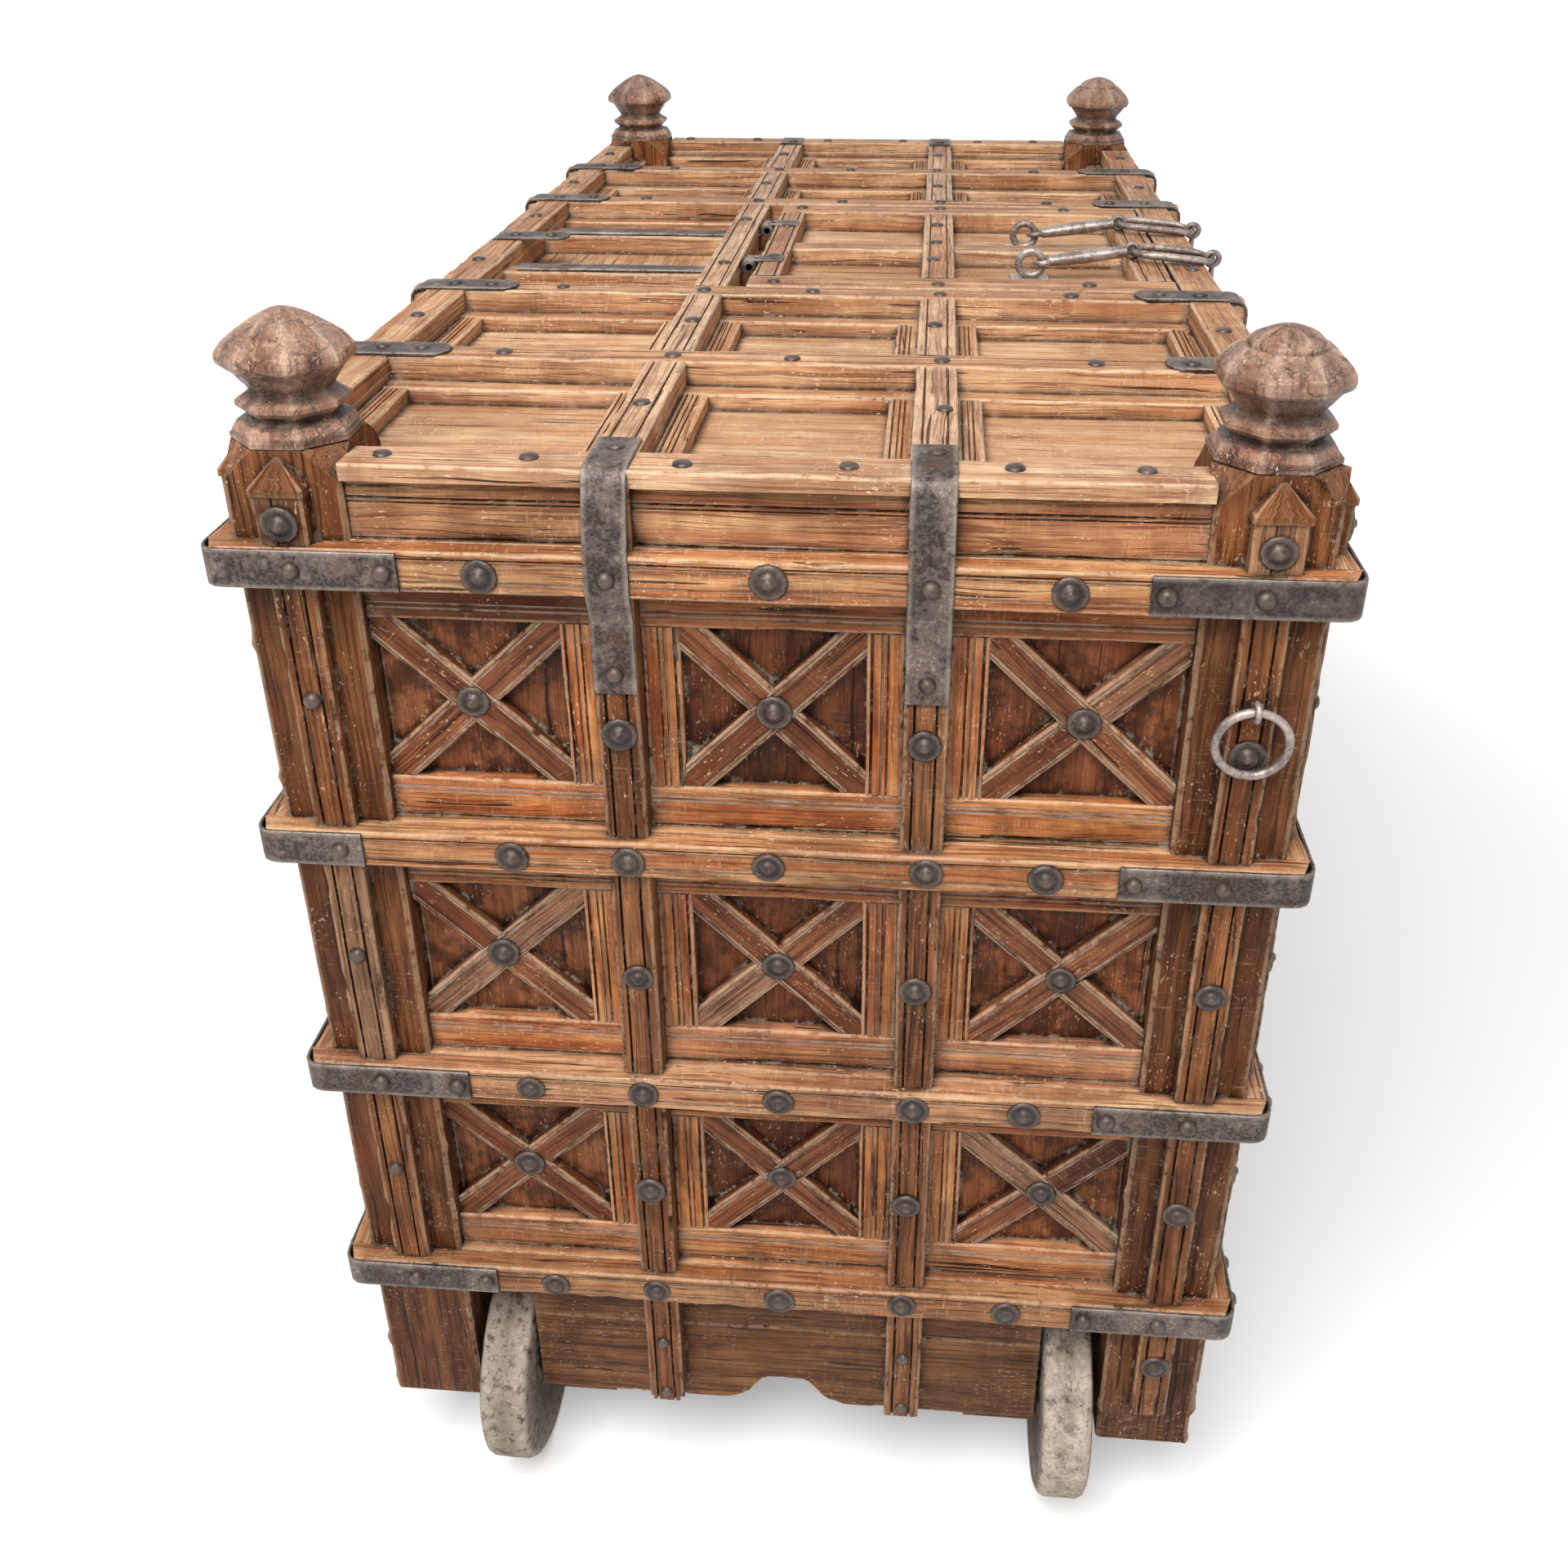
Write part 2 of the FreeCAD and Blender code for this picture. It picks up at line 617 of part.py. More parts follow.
node("coffer_mouldings", right_bays, turned("mouldings_left", right_bays),
     beam("moulding_middle_right", (f"{hatch_bay} - moulding_width", hatch_bay), bays_y[2], moulding_level),
     beam("moulding_middle_left", (f"-{hatch_bay}", f"-{hatch_bay} + moulding_width"), bays_y[2],
          moulding_level))

# Peg blocks with a pyramid top, standing on the highest belt against both outer faces of each post
peg_base = beam("peg_base", ("-peg_width/2", "peg_width/2"), ("-peg_proud", "0"),
                (belt_top, f"{belt_top} + peg_height"))
roof = make("Part::Wedge", "peg_roof", Xmin="-peg_width/2", Xmax="peg_width/2", Ymin="0", Ymax="peg_roof",
            Zmin="0", Zmax="peg_proud", X2min="-peg_tip", X2max="peg_tip", Z2min="0", Z2max="peg_tip")
place(roof, z=f"{belt_top} + peg_height", axis=(1, 0, 0), angle=90)
peg = fuse("peg_block", [peg_base, roof])
pegs = []
for side, half in (("front", post_x), ("left", post_y)):
    angle, x, y = sides[side]
    for sign in ("-", ""):
        offset_x, offset_y = (f"{sign}{half}", y) if side == "front" else (x, f"{sign}{half}")
        name = f"peg_{side}_{'low' if sign else 'high'}"
        pegs.append(again(name, peg, offset_x, offset_y, axis=(0, 0, 1), angle=angle))
peg_group = group("pegs_near", pegs)
node("peg_blocks", peg_group, turned("pegs_far", peg_group))

# Iron straps: round the corners of every belt, over the ends, and clips on the long edges
strap_level = ("belt_first + strap_margin", "belt_first + belt_height - strap_margin")
corner_straps = []
for name, sign in (("front", -1), ("back", 1)):
    outer_y = ("chest_width/2", "chest_width/2 + strap_thick")
    arm_y = ("chest_width/2 - corner_arm_end", "chest_width/2 + strap_thick")
    span_outer = outer_y if sign > 0 else (f"-({outer_y[1]})", f"-({outer_y[0]})")
    span_arm = arm_y if sign > 0 else (f"-({arm_y[1]})", f"-({arm_y[0]})")
    end_arm = beam(f"corner_{name}_end_arm", ("-chest_length/2 - strap_thick", "-chest_length/2"),
                   span_arm, strap_level)
    side_arm = beam(f"corner_{name}_side_arm",
                    ("-chest_length/2 - strap_thick", "-chest_length/2 + corner_arm_side"),
                    span_outer, strap_level)
    corner_straps.append(up_rows(f"corner_{name}", fuse(f"corner_{name}_strap", [end_arm, side_arm]), levels))
left_corners = group("corner_straps_left", corner_straps)
node("corner_straps", left_corners, turned("corner_straps_right", left_corners))


def end_strap(name):
    # Bent from the top over the edge, across the highest belt and down the batten
    edge = value(edge_out_x)
    belt = value("chest_length/2")
    batten = value(f"{post_face_x} + batten_proud")
    thick = value("strap_thick")
    top = value("top_height")
    upper = value(belt_top)
    lower = upper - value("belt_height")
    foot = lower - value("strap_tail")
    bend = lower - value("strap_bend")
    start = edge - value("strap_reach")
    inner_line = [(start, top), (edge, top), (belt, upper), (belt, lower), (batten, bend), (batten, foot)]
    outer_line = [(batten + thick, foot), (batten + thick, bend), (belt + thick, lower),
                  (belt + thick, upper), (edge + thick, top + thick), (start, top + thick)]
    width = value("strap_width")
    shape = prism([(-x, -width / 2, z) for x, z in inner_line + outer_line], (0, width, 0))
    return solid(name, shape)


strap = end_strap("end_strap")
left_straps = group("end_straps_left", [again("end_strap_back", strap, y="batten_pitch/2"),
                                        again("end_strap_front", strap, y="-batten_pitch/2")])
clip_across = ("-strap_width/2", "strap_width/2")
clip = fuse("edge_clip", [
    beam("edge_clip_top", clip_across, (f"{edge_out_y} - clip_reach", f"{edge_out_y} + strap_thick"),
         ("top_height", "top_height + strap_thick")),
    beam("edge_clip_drop", clip_across, (edge_out_y, f"{edge_out_y} + strap_thick"),
         ("top_height - clip_drop", "top_height + strap_thick"))])
clips = group("edge_clips_back", [again(f"edge_clip_{number}", clip, f"{step}*batten_pitch")
                                  for number, step in enumerate(cross_steps)])
node("top_straps", left_straps, turned("end_straps_right", left_straps), clips,
     turned("edge_clips_front", clips), again("edge_clip_middle", clip))

# Running gear: blocks under the sills, stub axles, linchpins and disc wheels
axle_x = f"({post_face_x} - frame_setback - skirt_thick - axle_block_thick/2)"
axle_z = "wheel_radius"
wheel_in = f"({end_skirt_half} + wheel_side_gap)"
wheel_out = f"({wheel_in} + wheel_thick)"
block_out = f"({wheel_in} - side_play)"
pin_y = f"({wheel_out} + side_play + pin_size/2)"
axle_start = f"({block_out} - axle_seat)"
axle_end = f"({pin_y} + pin_size)"


def along_y(name, radius, start, end):
    rod = make("Part::Cylinder", name, Radius=radius, Height=f"({end}) - ({start})")
    return place(rod, axle_x, start, axle_z, (1, 0, 0), -90)


def journal(name, radius, start, end):
    # The round part of the axle, forged with flats inside its radius
    flat = value(radius) * math.cos(math.pi / journal_sides)
    rod = solid(name, faceted([(flat, value(start)), (flat, value(end))], journal_sides))
    return place(rod, axle_x, "0", axle_z, (1, 0, 0), -90)


def axle_tail(name, half):
    # The square part of the axle, let into the block
    return beam(name, (f"{axle_x} - ({half})", f"{axle_x} + {half}"), (axle_start, block_out),
                (f"{axle_z} - ({half})", f"{axle_z} + {half}"))


def linchpin(name, half):
    return beam(name, (f"{axle_x} - ({half})", f"{axle_x} + {half}"),
                (f"{pin_y} - ({half})", f"{pin_y} + {half}"),
                (f"{axle_z} - pin_length/2", f"{axle_z} + pin_length/2"))


block = cut("axle_block",
            beam("axle_block_plain", (f"{axle_x} - axle_block_thick/2", f"{axle_x} + axle_block_thick/2"),
                 (f"{block_out} - axle_block_width", block_out),
                 (f"{axle_z} - axle_block_drop", "floor_height - sill_height")),
            axle_tail("axle_mortise", "axle_radius + running_gap"))
axle = cut("axle", fuse("axle_plain", [axle_tail("axle_square", "axle_radius"),
                                       journal("axle_journal", "axle_radius", axle_start, axle_end)]),
           linchpin("axle_pin_hole", "pin_size/2 + running_gap"))
rim, edge = value("wheel_radius"), value("wheel_edge")
near, far = value(wheel_in), value(wheel_out)
rim_outline = [(rim - edge, near), (rim, near + edge), (rim, far - edge), (rim - edge, far)]
disc = solid("wheel_disc", faceted(rim_outline, wheel_sides))
place(disc, axle_x, "0", axle_z, (1, 0, 0), -90)
wheel = cut("wheel", disc, along_y("wheel_bore", "axle_radius + running_gap", wheel_in, wheel_out))
pin = linchpin("linchpin", "pin_size/2")


def at_corners(name, source):
    # The piece drawn at the back right corner, and its fellows at the other three
    mirror = doc.addObject("Part::Mirroring", f"{name}_front_right")
    mirror.Source = source
    mirror.Normal = FreeCAD.Vector(0, 1, 0)
    return {"back_right": source, "front_right": mirror, "front_left": turned(f"{name}_front_left", source),
            "back_left": turned(f"{name}_back_left", mirror)}


for label, source in (("axle_blocks", block), ("axles", axle), ("linchpins", pin)):
    node(label, *at_corners(label, source).values())
for corner, piece in at_corners("wheel", wheel).items():
    node(f"wheel_{corner}", piece)

# Hatch: frame, boards and the strap hinges that run under the long bar
hinge_y = "(batten_pitch/2 - bar_width/2 - hinge_gap/2)"
strap_foot_z = "(top_height - hinge_bearer_drop)"
hinge_z = f"({strap_foot_z} + knuckle_radius)"
hatch_level = (f"{bar_foot} + hatch_seat", "top_height")
upper_level = ("top_height - hatch_board_drop", "top_height")
lower_level = ("top_height - hatch_board_drop", "top_height - hatch_rail_step")
rail_in = f"({hatch_x} - hatch_rail)"
back_in = f"({hatch_back} - hatch_back_stile)"
front_in = f"({hatch_front} - hatch_front_stile)"
across = (f"-{rail_in}", rail_in)
middle_rail = ("-hatch_middle_rail/2", "hatch_middle_rail/2")
node("hatch_frame",
     beam("hatch_rail_left", (f"-{hatch_x}", f"-{rail_in}"), (f"-{hatch_front}", hatch_back), hatch_level),
     beam("hatch_rail_right", (rail_in, hatch_x), (f"-{hatch_front}", hatch_back), hatch_level),
     beam("hatch_stile_back", across, (back_in, hatch_back), hatch_level),
     beam("hatch_stile_front", across, (f"-{hatch_front}", f"-{front_in}"), hatch_level),
     beam("hatch_batten", across, front_span, upper_level),
     beam("hatch_rail_middle_back", middle_rail, (front_span[1], back_in), lower_level),
     beam("hatch_rail_middle_front", middle_rail, (f"-{front_in}", front_span[0]), lower_level))
board_span = ("top_height - hatch_board_drop - hatch_board_thick", "top_height - hatch_board_drop")
node("hatch_boards", *[beam(f"hatch_board_{number}",
                            (f"{rail_in}*{number - 2}/2", f"{rail_in}*{number - 1}/2"),
                            (f"-{front_in}", back_in), board_span) for number in range(4)])


def knuckle(name, start, end):
    # A barrel forged with eight flats
    radius = value("knuckle_radius")
    barrel = solid(name, faceted([(radius, value(start)), (radius, value(end))], knuckle_sides))
    return place(barrel, "0", hinge_y, hinge_z, (0, 1, 0), 90)


def hinge_rod(name, flat):
    # Twelve flats at this radius along the hinge
    half = value("hinge_width/2")
    rod = solid(name, faceted([(flat, -half), (flat, half)], hinge_pin_sides))
    return place(rod, "0", hinge_y, hinge_z, (0, 1, 0), 90)


half_knuckle = "knuckle_width/2"
half_hinge = "hinge_width/2"
bore = hinge_rod("hinge_bore", value("hinge_pin_radius + running_gap"))
fixed_end = f"({edge_in_y} - hinge_end_gap)"
fixed = cut("hinge_strap_fixed",
            fuse("hinge_strap_plain", [
                beam("hinge_strap_long", (f"-{half_hinge}", half_hinge),
                     (f"{hinge_y} + knuckle_radius + knuckle_gap", fixed_end), (strap_foot_z, strap_top)),
                beam("hinge_strap_neck", (f"-{half_knuckle}", half_knuckle),
                     (hinge_y, f"{hinge_y} + knuckle_radius + 2*knuckle_gap"), (strap_foot_z, strap_top)),
                knuckle("hinge_knuckle_fixed", f"-{half_knuckle}", half_knuckle)]), bore)
leaf_level = ("top_height", "top_height + leaf_thick")
leaf_pieces = [beam("leaf_plate", (f"-{half_hinge}", half_hinge),
                    (f"{hatch_back} - leaf_reach", hatch_back), leaf_level)]
for name, low, high in (("left", f"-{half_hinge}", f"-{half_knuckle} - knuckle_gap"),
                        ("right", f"{half_knuckle} + knuckle_gap", half_hinge)):
    leaf_pieces.append(knuckle(f"leaf_knuckle_{name}", low, high))
    leaf_pieces.append(beam(f"leaf_neck_{name}", (low, high), (f"{hatch_back} - leaf_reach/2", hinge_y),
                            (f"{hinge_z} + knuckle_radius - leaf_thick", f"{hinge_z} + knuckle_radius")))
leaf = cut("hinge_leaf", fuse("hinge_leaf_plain", leaf_pieces), bore)
hinge_pin = hinge_rod("hinge_pin", value("hinge_pin_radius") * math.cos(math.pi / hinge_pin_sides))
for label, source in (("hinge_straps", fixed), ("hatch_hinge_leaves", leaf), ("hinge_pins", hinge_pin)):
    node(label, again(f"{label}_left", source, "-hinge_spread"),
         again(f"{label}_right", source, "hinge_spread"))
bearer_level = (bar_foot, strap_foot_z)
node("hinge_bearers", *[beam(f"hinge_bearer_{name}", span, (back_span[1], edge_in_y), bearer_level)
                        for name, span in bearer_spans.items()])

# Hasps: staple, arm, long loop and hanging end link, each turning in the one before
plate_top = "(top_height - hatch_board_drop + hasp_plate_thick)"
staple_y = f"-({hatch_front} - hasp_setback)"
staple_z = f"({plate_top} + staple_radius + staple_wire - staple_sink)"
ring_axis = dict(axis=(0, 1, 0), angle=90)


def eye(name, radius, wire, **spot):
    # A bent eye whose hole clears a round bar: its radius is measured to the flats
    path = round_points(value(radius) / math.cos(math.pi / eye_sides), eye_sides, start=0.5)
    return place(solid(name, closed_link(path, value(wire))), **spot)


def ring_link(name, radius, wire, **spot):
    path = round_points(value(radius), ring_sides)
    return place(solid(name, closed_link(path, value(wire))), **spot)


staple = fuse("hasp_staple", [
    beam("hasp_plate_iron", ("-hasp_plate/2", "hasp_plate/2"), ("-hasp_plate/2", "hasp_plate/2"),
         (f"{plate_top} - hasp_plate_thick", plate_top)),
    eye("hasp_eye", "staple_radius", "staple_wire", z=staple_z, **ring_axis)])
node("hasp_staples", again("hasp_staple_left", staple, "-hasp_spread", staple_y),
     again("hasp_staple_right", staple, "hasp_spread", staple_y))


def straight_bar(name, radius, start, end, **spot):
    # Six sided bar along its own Z axis
    rings = [round_points(value(radius), bar_sides, value(height)) for height in (start, end)]
    return place(solid(name, enclosed(rings, rings)), **spot)


eye_apex = "(staple_radius - staple_wire - link_wire - link_gap)"
arm = fuse("hasp_arm", [
    ring_link("arm_near_eye", "arm_eye", "link_wire", y=f"-({eye_apex} + arm_eye)"),
    straight_bar("arm_bar", "arm_rod", f"{eye_apex} + 2*arm_eye", "arm_length - pivot_eye",
                 axis=(1, 0, 0), angle=90),
    eye("arm_far_eye", "pivot_eye", "pivot_eye - link_wire - link_gap", y="-arm_length", **ring_axis)])

# The arm rests on the front stile of the hatch, and the loop on the front edge of the top
pivot_reach = value("2*pivot_eye - link_wire - link_gap")
arm_from = FreeCAD.Vector(0, value(staple_y), value(staple_z))
arm_rise = value("top_height + rest_gap") + pivot_reach - arm_from.z
arm_slope = math.asin(arm_rise / value("arm_length"))
arm_to = arm_from + FreeCAD.Vector(0, -math.cos(arm_slope), math.sin(arm_slope)) * value("arm_length")
edge_point = FreeCAD.Vector(0, value(f"-{edge_out_y}"), value("top_height"))
to_edge = edge_point - arm_to
loop_fall = math.atan2(-to_edge.z, -to_edge.y) - math.asin(value("link_wire + rest_gap") / to_edge.Length)
end_y = value(f"-{edge_out_y}") - pivot_reach - value("rest_gap")
loop_length = (arm_to.y - end_y) / math.cos(loop_fall)
loop_to = FreeCAD.Vector(0, end_y, arm_to.z - loop_length * math.sin(loop_fall))

radius = value("loop_radius")
bend = round_points(radius, ring_sides)
half_count = ring_sides // 2
loop_path = [point - FreeCAD.Vector(0, radius, 0) for point in bend[:half_count + 1]]
loop_path += [point - FreeCAD.Vector(0, loop_length - radius, 0) for point in bend[half_count:] + bend[:1]]
loop = solid("hasp_loop", closed_link(loop_path, value("link_wire")))
end_link = fuse("hasp_end", [
    eye("end_upper_eye", "pivot_eye", "pivot_eye - link_wire - link_gap", **ring_axis),
    straight_bar("end_bar", "link_wire", "pivot_eye - end_length", "-pivot_eye"),
    eye("end_lower_eye", "pivot_eye", "pivot_eye - link_wire - link_gap", z="-end_length", **ring_axis)])


def hang(label, source, point, tilt):
    for end, sign in (("left", -1), ("right", 1)):
        piece = again(f"{label}_{end}_copy", source)
        spot = FreeCAD.Vector(sign * value("hasp_spread"), point.y, point.z)
        turn = FreeCAD.Rotation(FreeCAD.Vector(1, 0, 0), math.degrees(tilt))
        for name in "xyz":
            piece.setExpression(f".Placement.Base.{name}", None)
        piece.Placement = FreeCAD.Placement(spot, turn)
        node(f"{label}_{end}", piece)


hang("hasp_arm", arm, arm_from, -arm_slope)
hang("hasp_loop", loop, arm_to, loop_fall)
hang("hasp_end", end_link, loop_to, 0)

# Ring handles on the end faces of two posts
ring_x = f"(-{post_face_x} - batten_proud - ring_offset)"
ring_height = f"({belt_foot} - ring_drop)"
staple_eye = "(ring_wire + link_gap + ring_staple_wire)"
ring_staple = fuse("ring_staple", [
    eye("ring_staple_eye", staple_eye, "ring_staple_wire", x=ring_x, y=f"-{post_y}", z=ring_height,
        axis=(1, 0, 0), angle=90),
    straight_bar("ring_staple_shank", "ring_staple_wire", staple_eye, "ring_offset",
                 x=ring_x, y=f"-{post_y}", z=ring_height, axis=(0, 1, 0), angle=90)])
ring = ring_link("ring", "ring_radius", "ring_wire", x=ring_x, y=f"-{post_y}",
                 z=f"{ring_height} - ring_radius", **ring_axis)
node("ring_staples", ring_staple, turned("ring_staple_right", ring_staple))
node("ring_left", ring)
node("ring_right", turned("ring_turned", ring))

# Every object has to build, and every sub-part has to be a valid set of solids
doc.recompute()
for piece in doc.Objects:
    if "Invalid" in piece.State or "Error" in piece.State:
        raise RuntimeError(f"{piece.Name} did not build: {piece.State}")
for label, piece in nodes.items():
    if piece.Shape.isNull() or not piece.Shape.isValid() or not piece.Shape.Solids:
        raise RuntimeError(f"{label} has no valid shape")

os.makedirs("parts", exist_ok=True)
for label, piece in nodes.items():
    piece.Shape.exportStep(f"parts/{label}.step")
for name, point in (("hatch hinge", (0, value(hinge_y), value(hinge_z))), ("arm pivot", tuple(arm_from)),
                    ("loop pivot", tuple(arm_to)), ("end pivot", tuple(loop_to)),
                    ("wheel axle", (value(axle_x), value(wheel_in), value(axle_z))),
                    ("ring pivot", (value(ring_x), -value(post_y), value(ring_height)))):
    print(name, [round(number, 3) for number in point])
print(len(nodes), "nodes,", sum(len(piece.Shape.Solids) for piece in nodes.values()), "solids")
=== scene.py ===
import json
import math
import random

import bmesh
import bpy
from mathutils import Matrix, Vector, noise


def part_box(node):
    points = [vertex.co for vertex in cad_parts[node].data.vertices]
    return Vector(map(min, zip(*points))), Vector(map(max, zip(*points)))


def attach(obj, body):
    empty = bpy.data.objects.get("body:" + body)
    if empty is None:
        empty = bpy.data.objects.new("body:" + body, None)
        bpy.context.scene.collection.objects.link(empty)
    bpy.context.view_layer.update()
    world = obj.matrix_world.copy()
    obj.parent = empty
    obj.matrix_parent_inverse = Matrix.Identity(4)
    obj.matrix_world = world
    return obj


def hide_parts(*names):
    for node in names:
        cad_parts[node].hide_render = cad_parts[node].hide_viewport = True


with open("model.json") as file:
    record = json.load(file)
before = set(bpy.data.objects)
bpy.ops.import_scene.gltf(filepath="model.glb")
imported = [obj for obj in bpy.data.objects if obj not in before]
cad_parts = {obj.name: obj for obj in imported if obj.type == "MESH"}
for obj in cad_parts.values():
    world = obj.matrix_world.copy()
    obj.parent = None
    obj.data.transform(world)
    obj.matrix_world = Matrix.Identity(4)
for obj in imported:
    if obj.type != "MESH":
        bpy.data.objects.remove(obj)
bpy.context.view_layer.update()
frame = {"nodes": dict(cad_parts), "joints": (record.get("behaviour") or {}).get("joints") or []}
jointAt = {joint["name"]: Vector(joint["pos_m"]) for joint in frame["joints"]}
dice = random.Random(11)
print("frame loaded:", len(frame["nodes"]), "nodes")

# Main places of the chest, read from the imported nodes
beltHigh, postSize, battenPitch = 0.036, 0.098, 0.257
wallX = -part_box("belts_left")[1].x  # post faces at the ends
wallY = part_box("belts_back")[0].y
beltFirst, beltTop = (corner.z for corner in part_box("belts_left"))
barFoot, topZ = (corner.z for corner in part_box("cross_bars"))
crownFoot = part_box("frieze_boards")[1].z
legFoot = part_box("corner_post_front_left")[0].z
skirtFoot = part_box("battens_ends")[0].z
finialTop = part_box("corner_post_back_left")[1].z
postInX, postInY = wallX - postSize, wallY - postSize
beltPitch = (beltTop - beltHigh - beltFirst) / 3
levels = [beltFirst + step * beltPitch for step in range(4)]
signs = (-1, 1)
fourCorners = [(signX, signY) for signX in signs for signY in signs]


# Straight, bent and turned stock

hair = 0.0001  # less than any size of a bar
merge = 0.00001
spinning = {"cent": (0, 0, 0), "space": Matrix.Identity(4), "use_normal_flip": False, "use_duplicate": False}
barLook = {"chipFrom": 0.22, "endWear": 0.35, "leastFace": 0.001}


def about(middle, width):
    return middle - width / 2, middle + width / 2


def onSide(sign, near, far):
    return sorted((sign * near, sign * far))


def section(width, depth, lines=(), edge=0.0016, fade=0.0022):
    # outline round a bar: across, out, worn share, groove share
    # each line has its place, reach, depth and tint
    half = width / 2
    free = half - edge - fade
    left = [(-half, 0.0, 0, 0), (-half, max(depth - edge - fade, depth * 0.4), 0, 0),
            (-half, depth - edge, 1, 0), (-half + edge, depth, 1, 0)]
    face = []
    for at, reach, deep, tint in sorted(lines):
        face += [(at - reach, depth, 0, 0), (at - reach * 0.45, depth - deep, 0, tint),
                 (at + reach * 0.45, depth - deep, 0, tint), (at + reach, depth, 0, 0)]
    least = barLook["leastFace"]
    if free > least:
        if not face or face[0][0] > least - free:
            face.insert(0, (-free, depth, 0, 0))
        if face[-1][0] < free - least:
            face.append((free, depth, 0, 0))
    return left + face + [(-across, out, worn, cut) for across, out, worn, cut in reversed(left)]


def newStock():
    stock = bmesh.new()
    for name in ("wear", "groove", "tone"):
        stock.verts.layers.float.new(name)
    stock.verts.layers.float_vector.new("grainCo")
    return stock


def layer(stock, name):
    kinds = stock.verts.layers
    return (kinds.float_vector if name == "grainCo" else kinds.float)[name]


def drawOut(outline, steps, reach):
    # the outline pulled along X in equal steps
    stock = newStock()
    wear, groove = layer(stock, "wear"), layer(stock, "groove")
    ring = []
    for across, out, worn, cut in outline:
        vert = stock.verts.new((0, across, out))
        vert[wear] = worn
        vert[groove] = cut
        ring.append(vert)
    rim = [stock.edges.new((ring[step - 1], ring[step])) for step in range(len(ring))]
    bmesh.ops.spin(stock, geom=ring + rim, axis=(1, 0, 0), dvec=(reach / steps, 0, 0), angle=0.0, steps=steps,
                   use_merge=False, **spinning)
    return stock


def closeEnds(stock):
    rims = [edge for edge in stock.edges if edge.is_boundary]
    if rims:
        bmesh.ops.holes_fill(stock, edges=rims, sides=0)
    bmesh.ops.recalc_face_normals(stock, faces=stock.faces)


def grained(stock, spread=0.5, lean=0.0):
    # every bar has its own stretch of grain and its own tone
    grain, tone = layer(stock, "grainCo"), layer(stock, "tone")
    shift = Vector((dice.uniform(0, 40), dice.uniform(0, 9), dice.uniform(0, 9)))
    shade = dice.gauss(lean, spread)
    for vert in stock.verts:
        vert[grain] = vert.co + shift
        vert[tone] = shade


def barStock(length, width, depth, lines=(), pitch=0.03, wobble=0.0005, nick=0.004, edge=0.0016, spread=0.5,
             lean=0.0):
    # a sawn and worn timber: X along, Y across its face, Z outwards from its back
    stock = drawOut(section(width, depth, lines, edge), max(2, round(length / pitch)), length)
    grained(stock, spread, lean)
    wear, grain = layer(stock, "wear"), layer(stock, "grainCo")
    for vert in stock.verts:
        place = vert[grain]
        if vert.co.z > hair:
            vert.co.z += wobble * noise.noise(Vector((place.x * 11, place.y * 30, 3.1)))
            vert.co.y += wobble * noise.noise(Vector((place.x * 9, place.z * 30, 7.7)))
        if vert[wear] > 0.9:
            bite = noise.noise(Vector((place.x * 45, place.y * 20, place.z * 20))) - barLook["chipFrom"]
            chip = nick * max(0.0, bite)
            vert.co.z -= chip
            vert.co.y -= math.copysign(chip, vert.co.y)
        if min(vert.co.x, length - vert.co.x) < hair:
            vert[wear] = max(vert[wear], barLook["endWear"])
    closeEnds(stock)
    return stock


def bentStock(outline, samples, across, closed=False):
    # a bar bent along points that each have their own outward direction
    stock = drawOut(outline, len(samples) - 1, len(samples) - 1)
    grained(stock, 0.4)
    grain = layer(stock, "grainCo")
    runs = [0.0]
    for (near, _), (far, _) in zip(samples, samples[1:]):
        runs.append(runs[-1] + (far - near).length)
    for vert in stock.verts:
        step = round(vert.co.x)
        point, out = samples[step]
        vert[grain] += Vector((runs[step] - step, 0, 0))
        vert.co = point + across * vert.co.y + out * vert.co.z
    if closed:
        bmesh.ops.remove_doubles(stock, verts=stock.verts, dist=merge)
    closeEnds(stock)
    return stock


def turnedStock(profile, steps=12, spread=0.4, lean=0.0):
    # a profile of radius, height and worn share, turned round Z
    stock = newStock()
    wear = layer(stock, "wear")
    line = []
    for radius, height, worn in profile:
        vert = stock.verts.new((radius, 0, height))
        vert[wear] = worn
        line.append(vert)
    edges = [stock.edges.new(pair) for pair in zip(line, line[1:])]
    bmesh.ops.spin(stock, geom=line + edges, axis=(0, 0, 1), dvec=(0, 0, 0), angle=2 * math.pi, steps=steps,
                   use_merge=True, **spinning)
    bmesh.ops.remove_doubles(stock, verts=stock.verts, dist=merge)
    grained(stock, spread, lean)
    closeEnds(stock)
    return stock


def lay(heap, stock, matrix):
    # adds one finished bar to the piece that it belongs to
    carry = bpy.data.meshes.new("carry")
    stock.to_mesh(carry)
    stock.free()
    carry.transform(matrix)
    heap.from_mesh(carry)
    bpy.data.meshes.remove(carry)


def settle(heap, node, slot, body="chest", smooth=38, finish=None, kind=None, stands=True):
    # turns a heap of bars into a piece that rides on its body, and stands for its node
    name = f"{node}.{kind or ('iron' if slot in irons else 'timber')}"
    mesh = bpy.data.meshes.new(name)
    heap.to_mesh(mesh)
    heap.free()
    for face in mesh.polygons:
        face.use_smooth = True
    mesh.set_sharp_from_angle(angle=math.radians(smooth))
    mesh.materials.append(finishes[finish or slot])
    piece = bpy.data.objects.new(name, mesh)
    bpy.context.scene.collection.objects.link(piece)
    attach(piece, body)
    if stands:
        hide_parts(node)


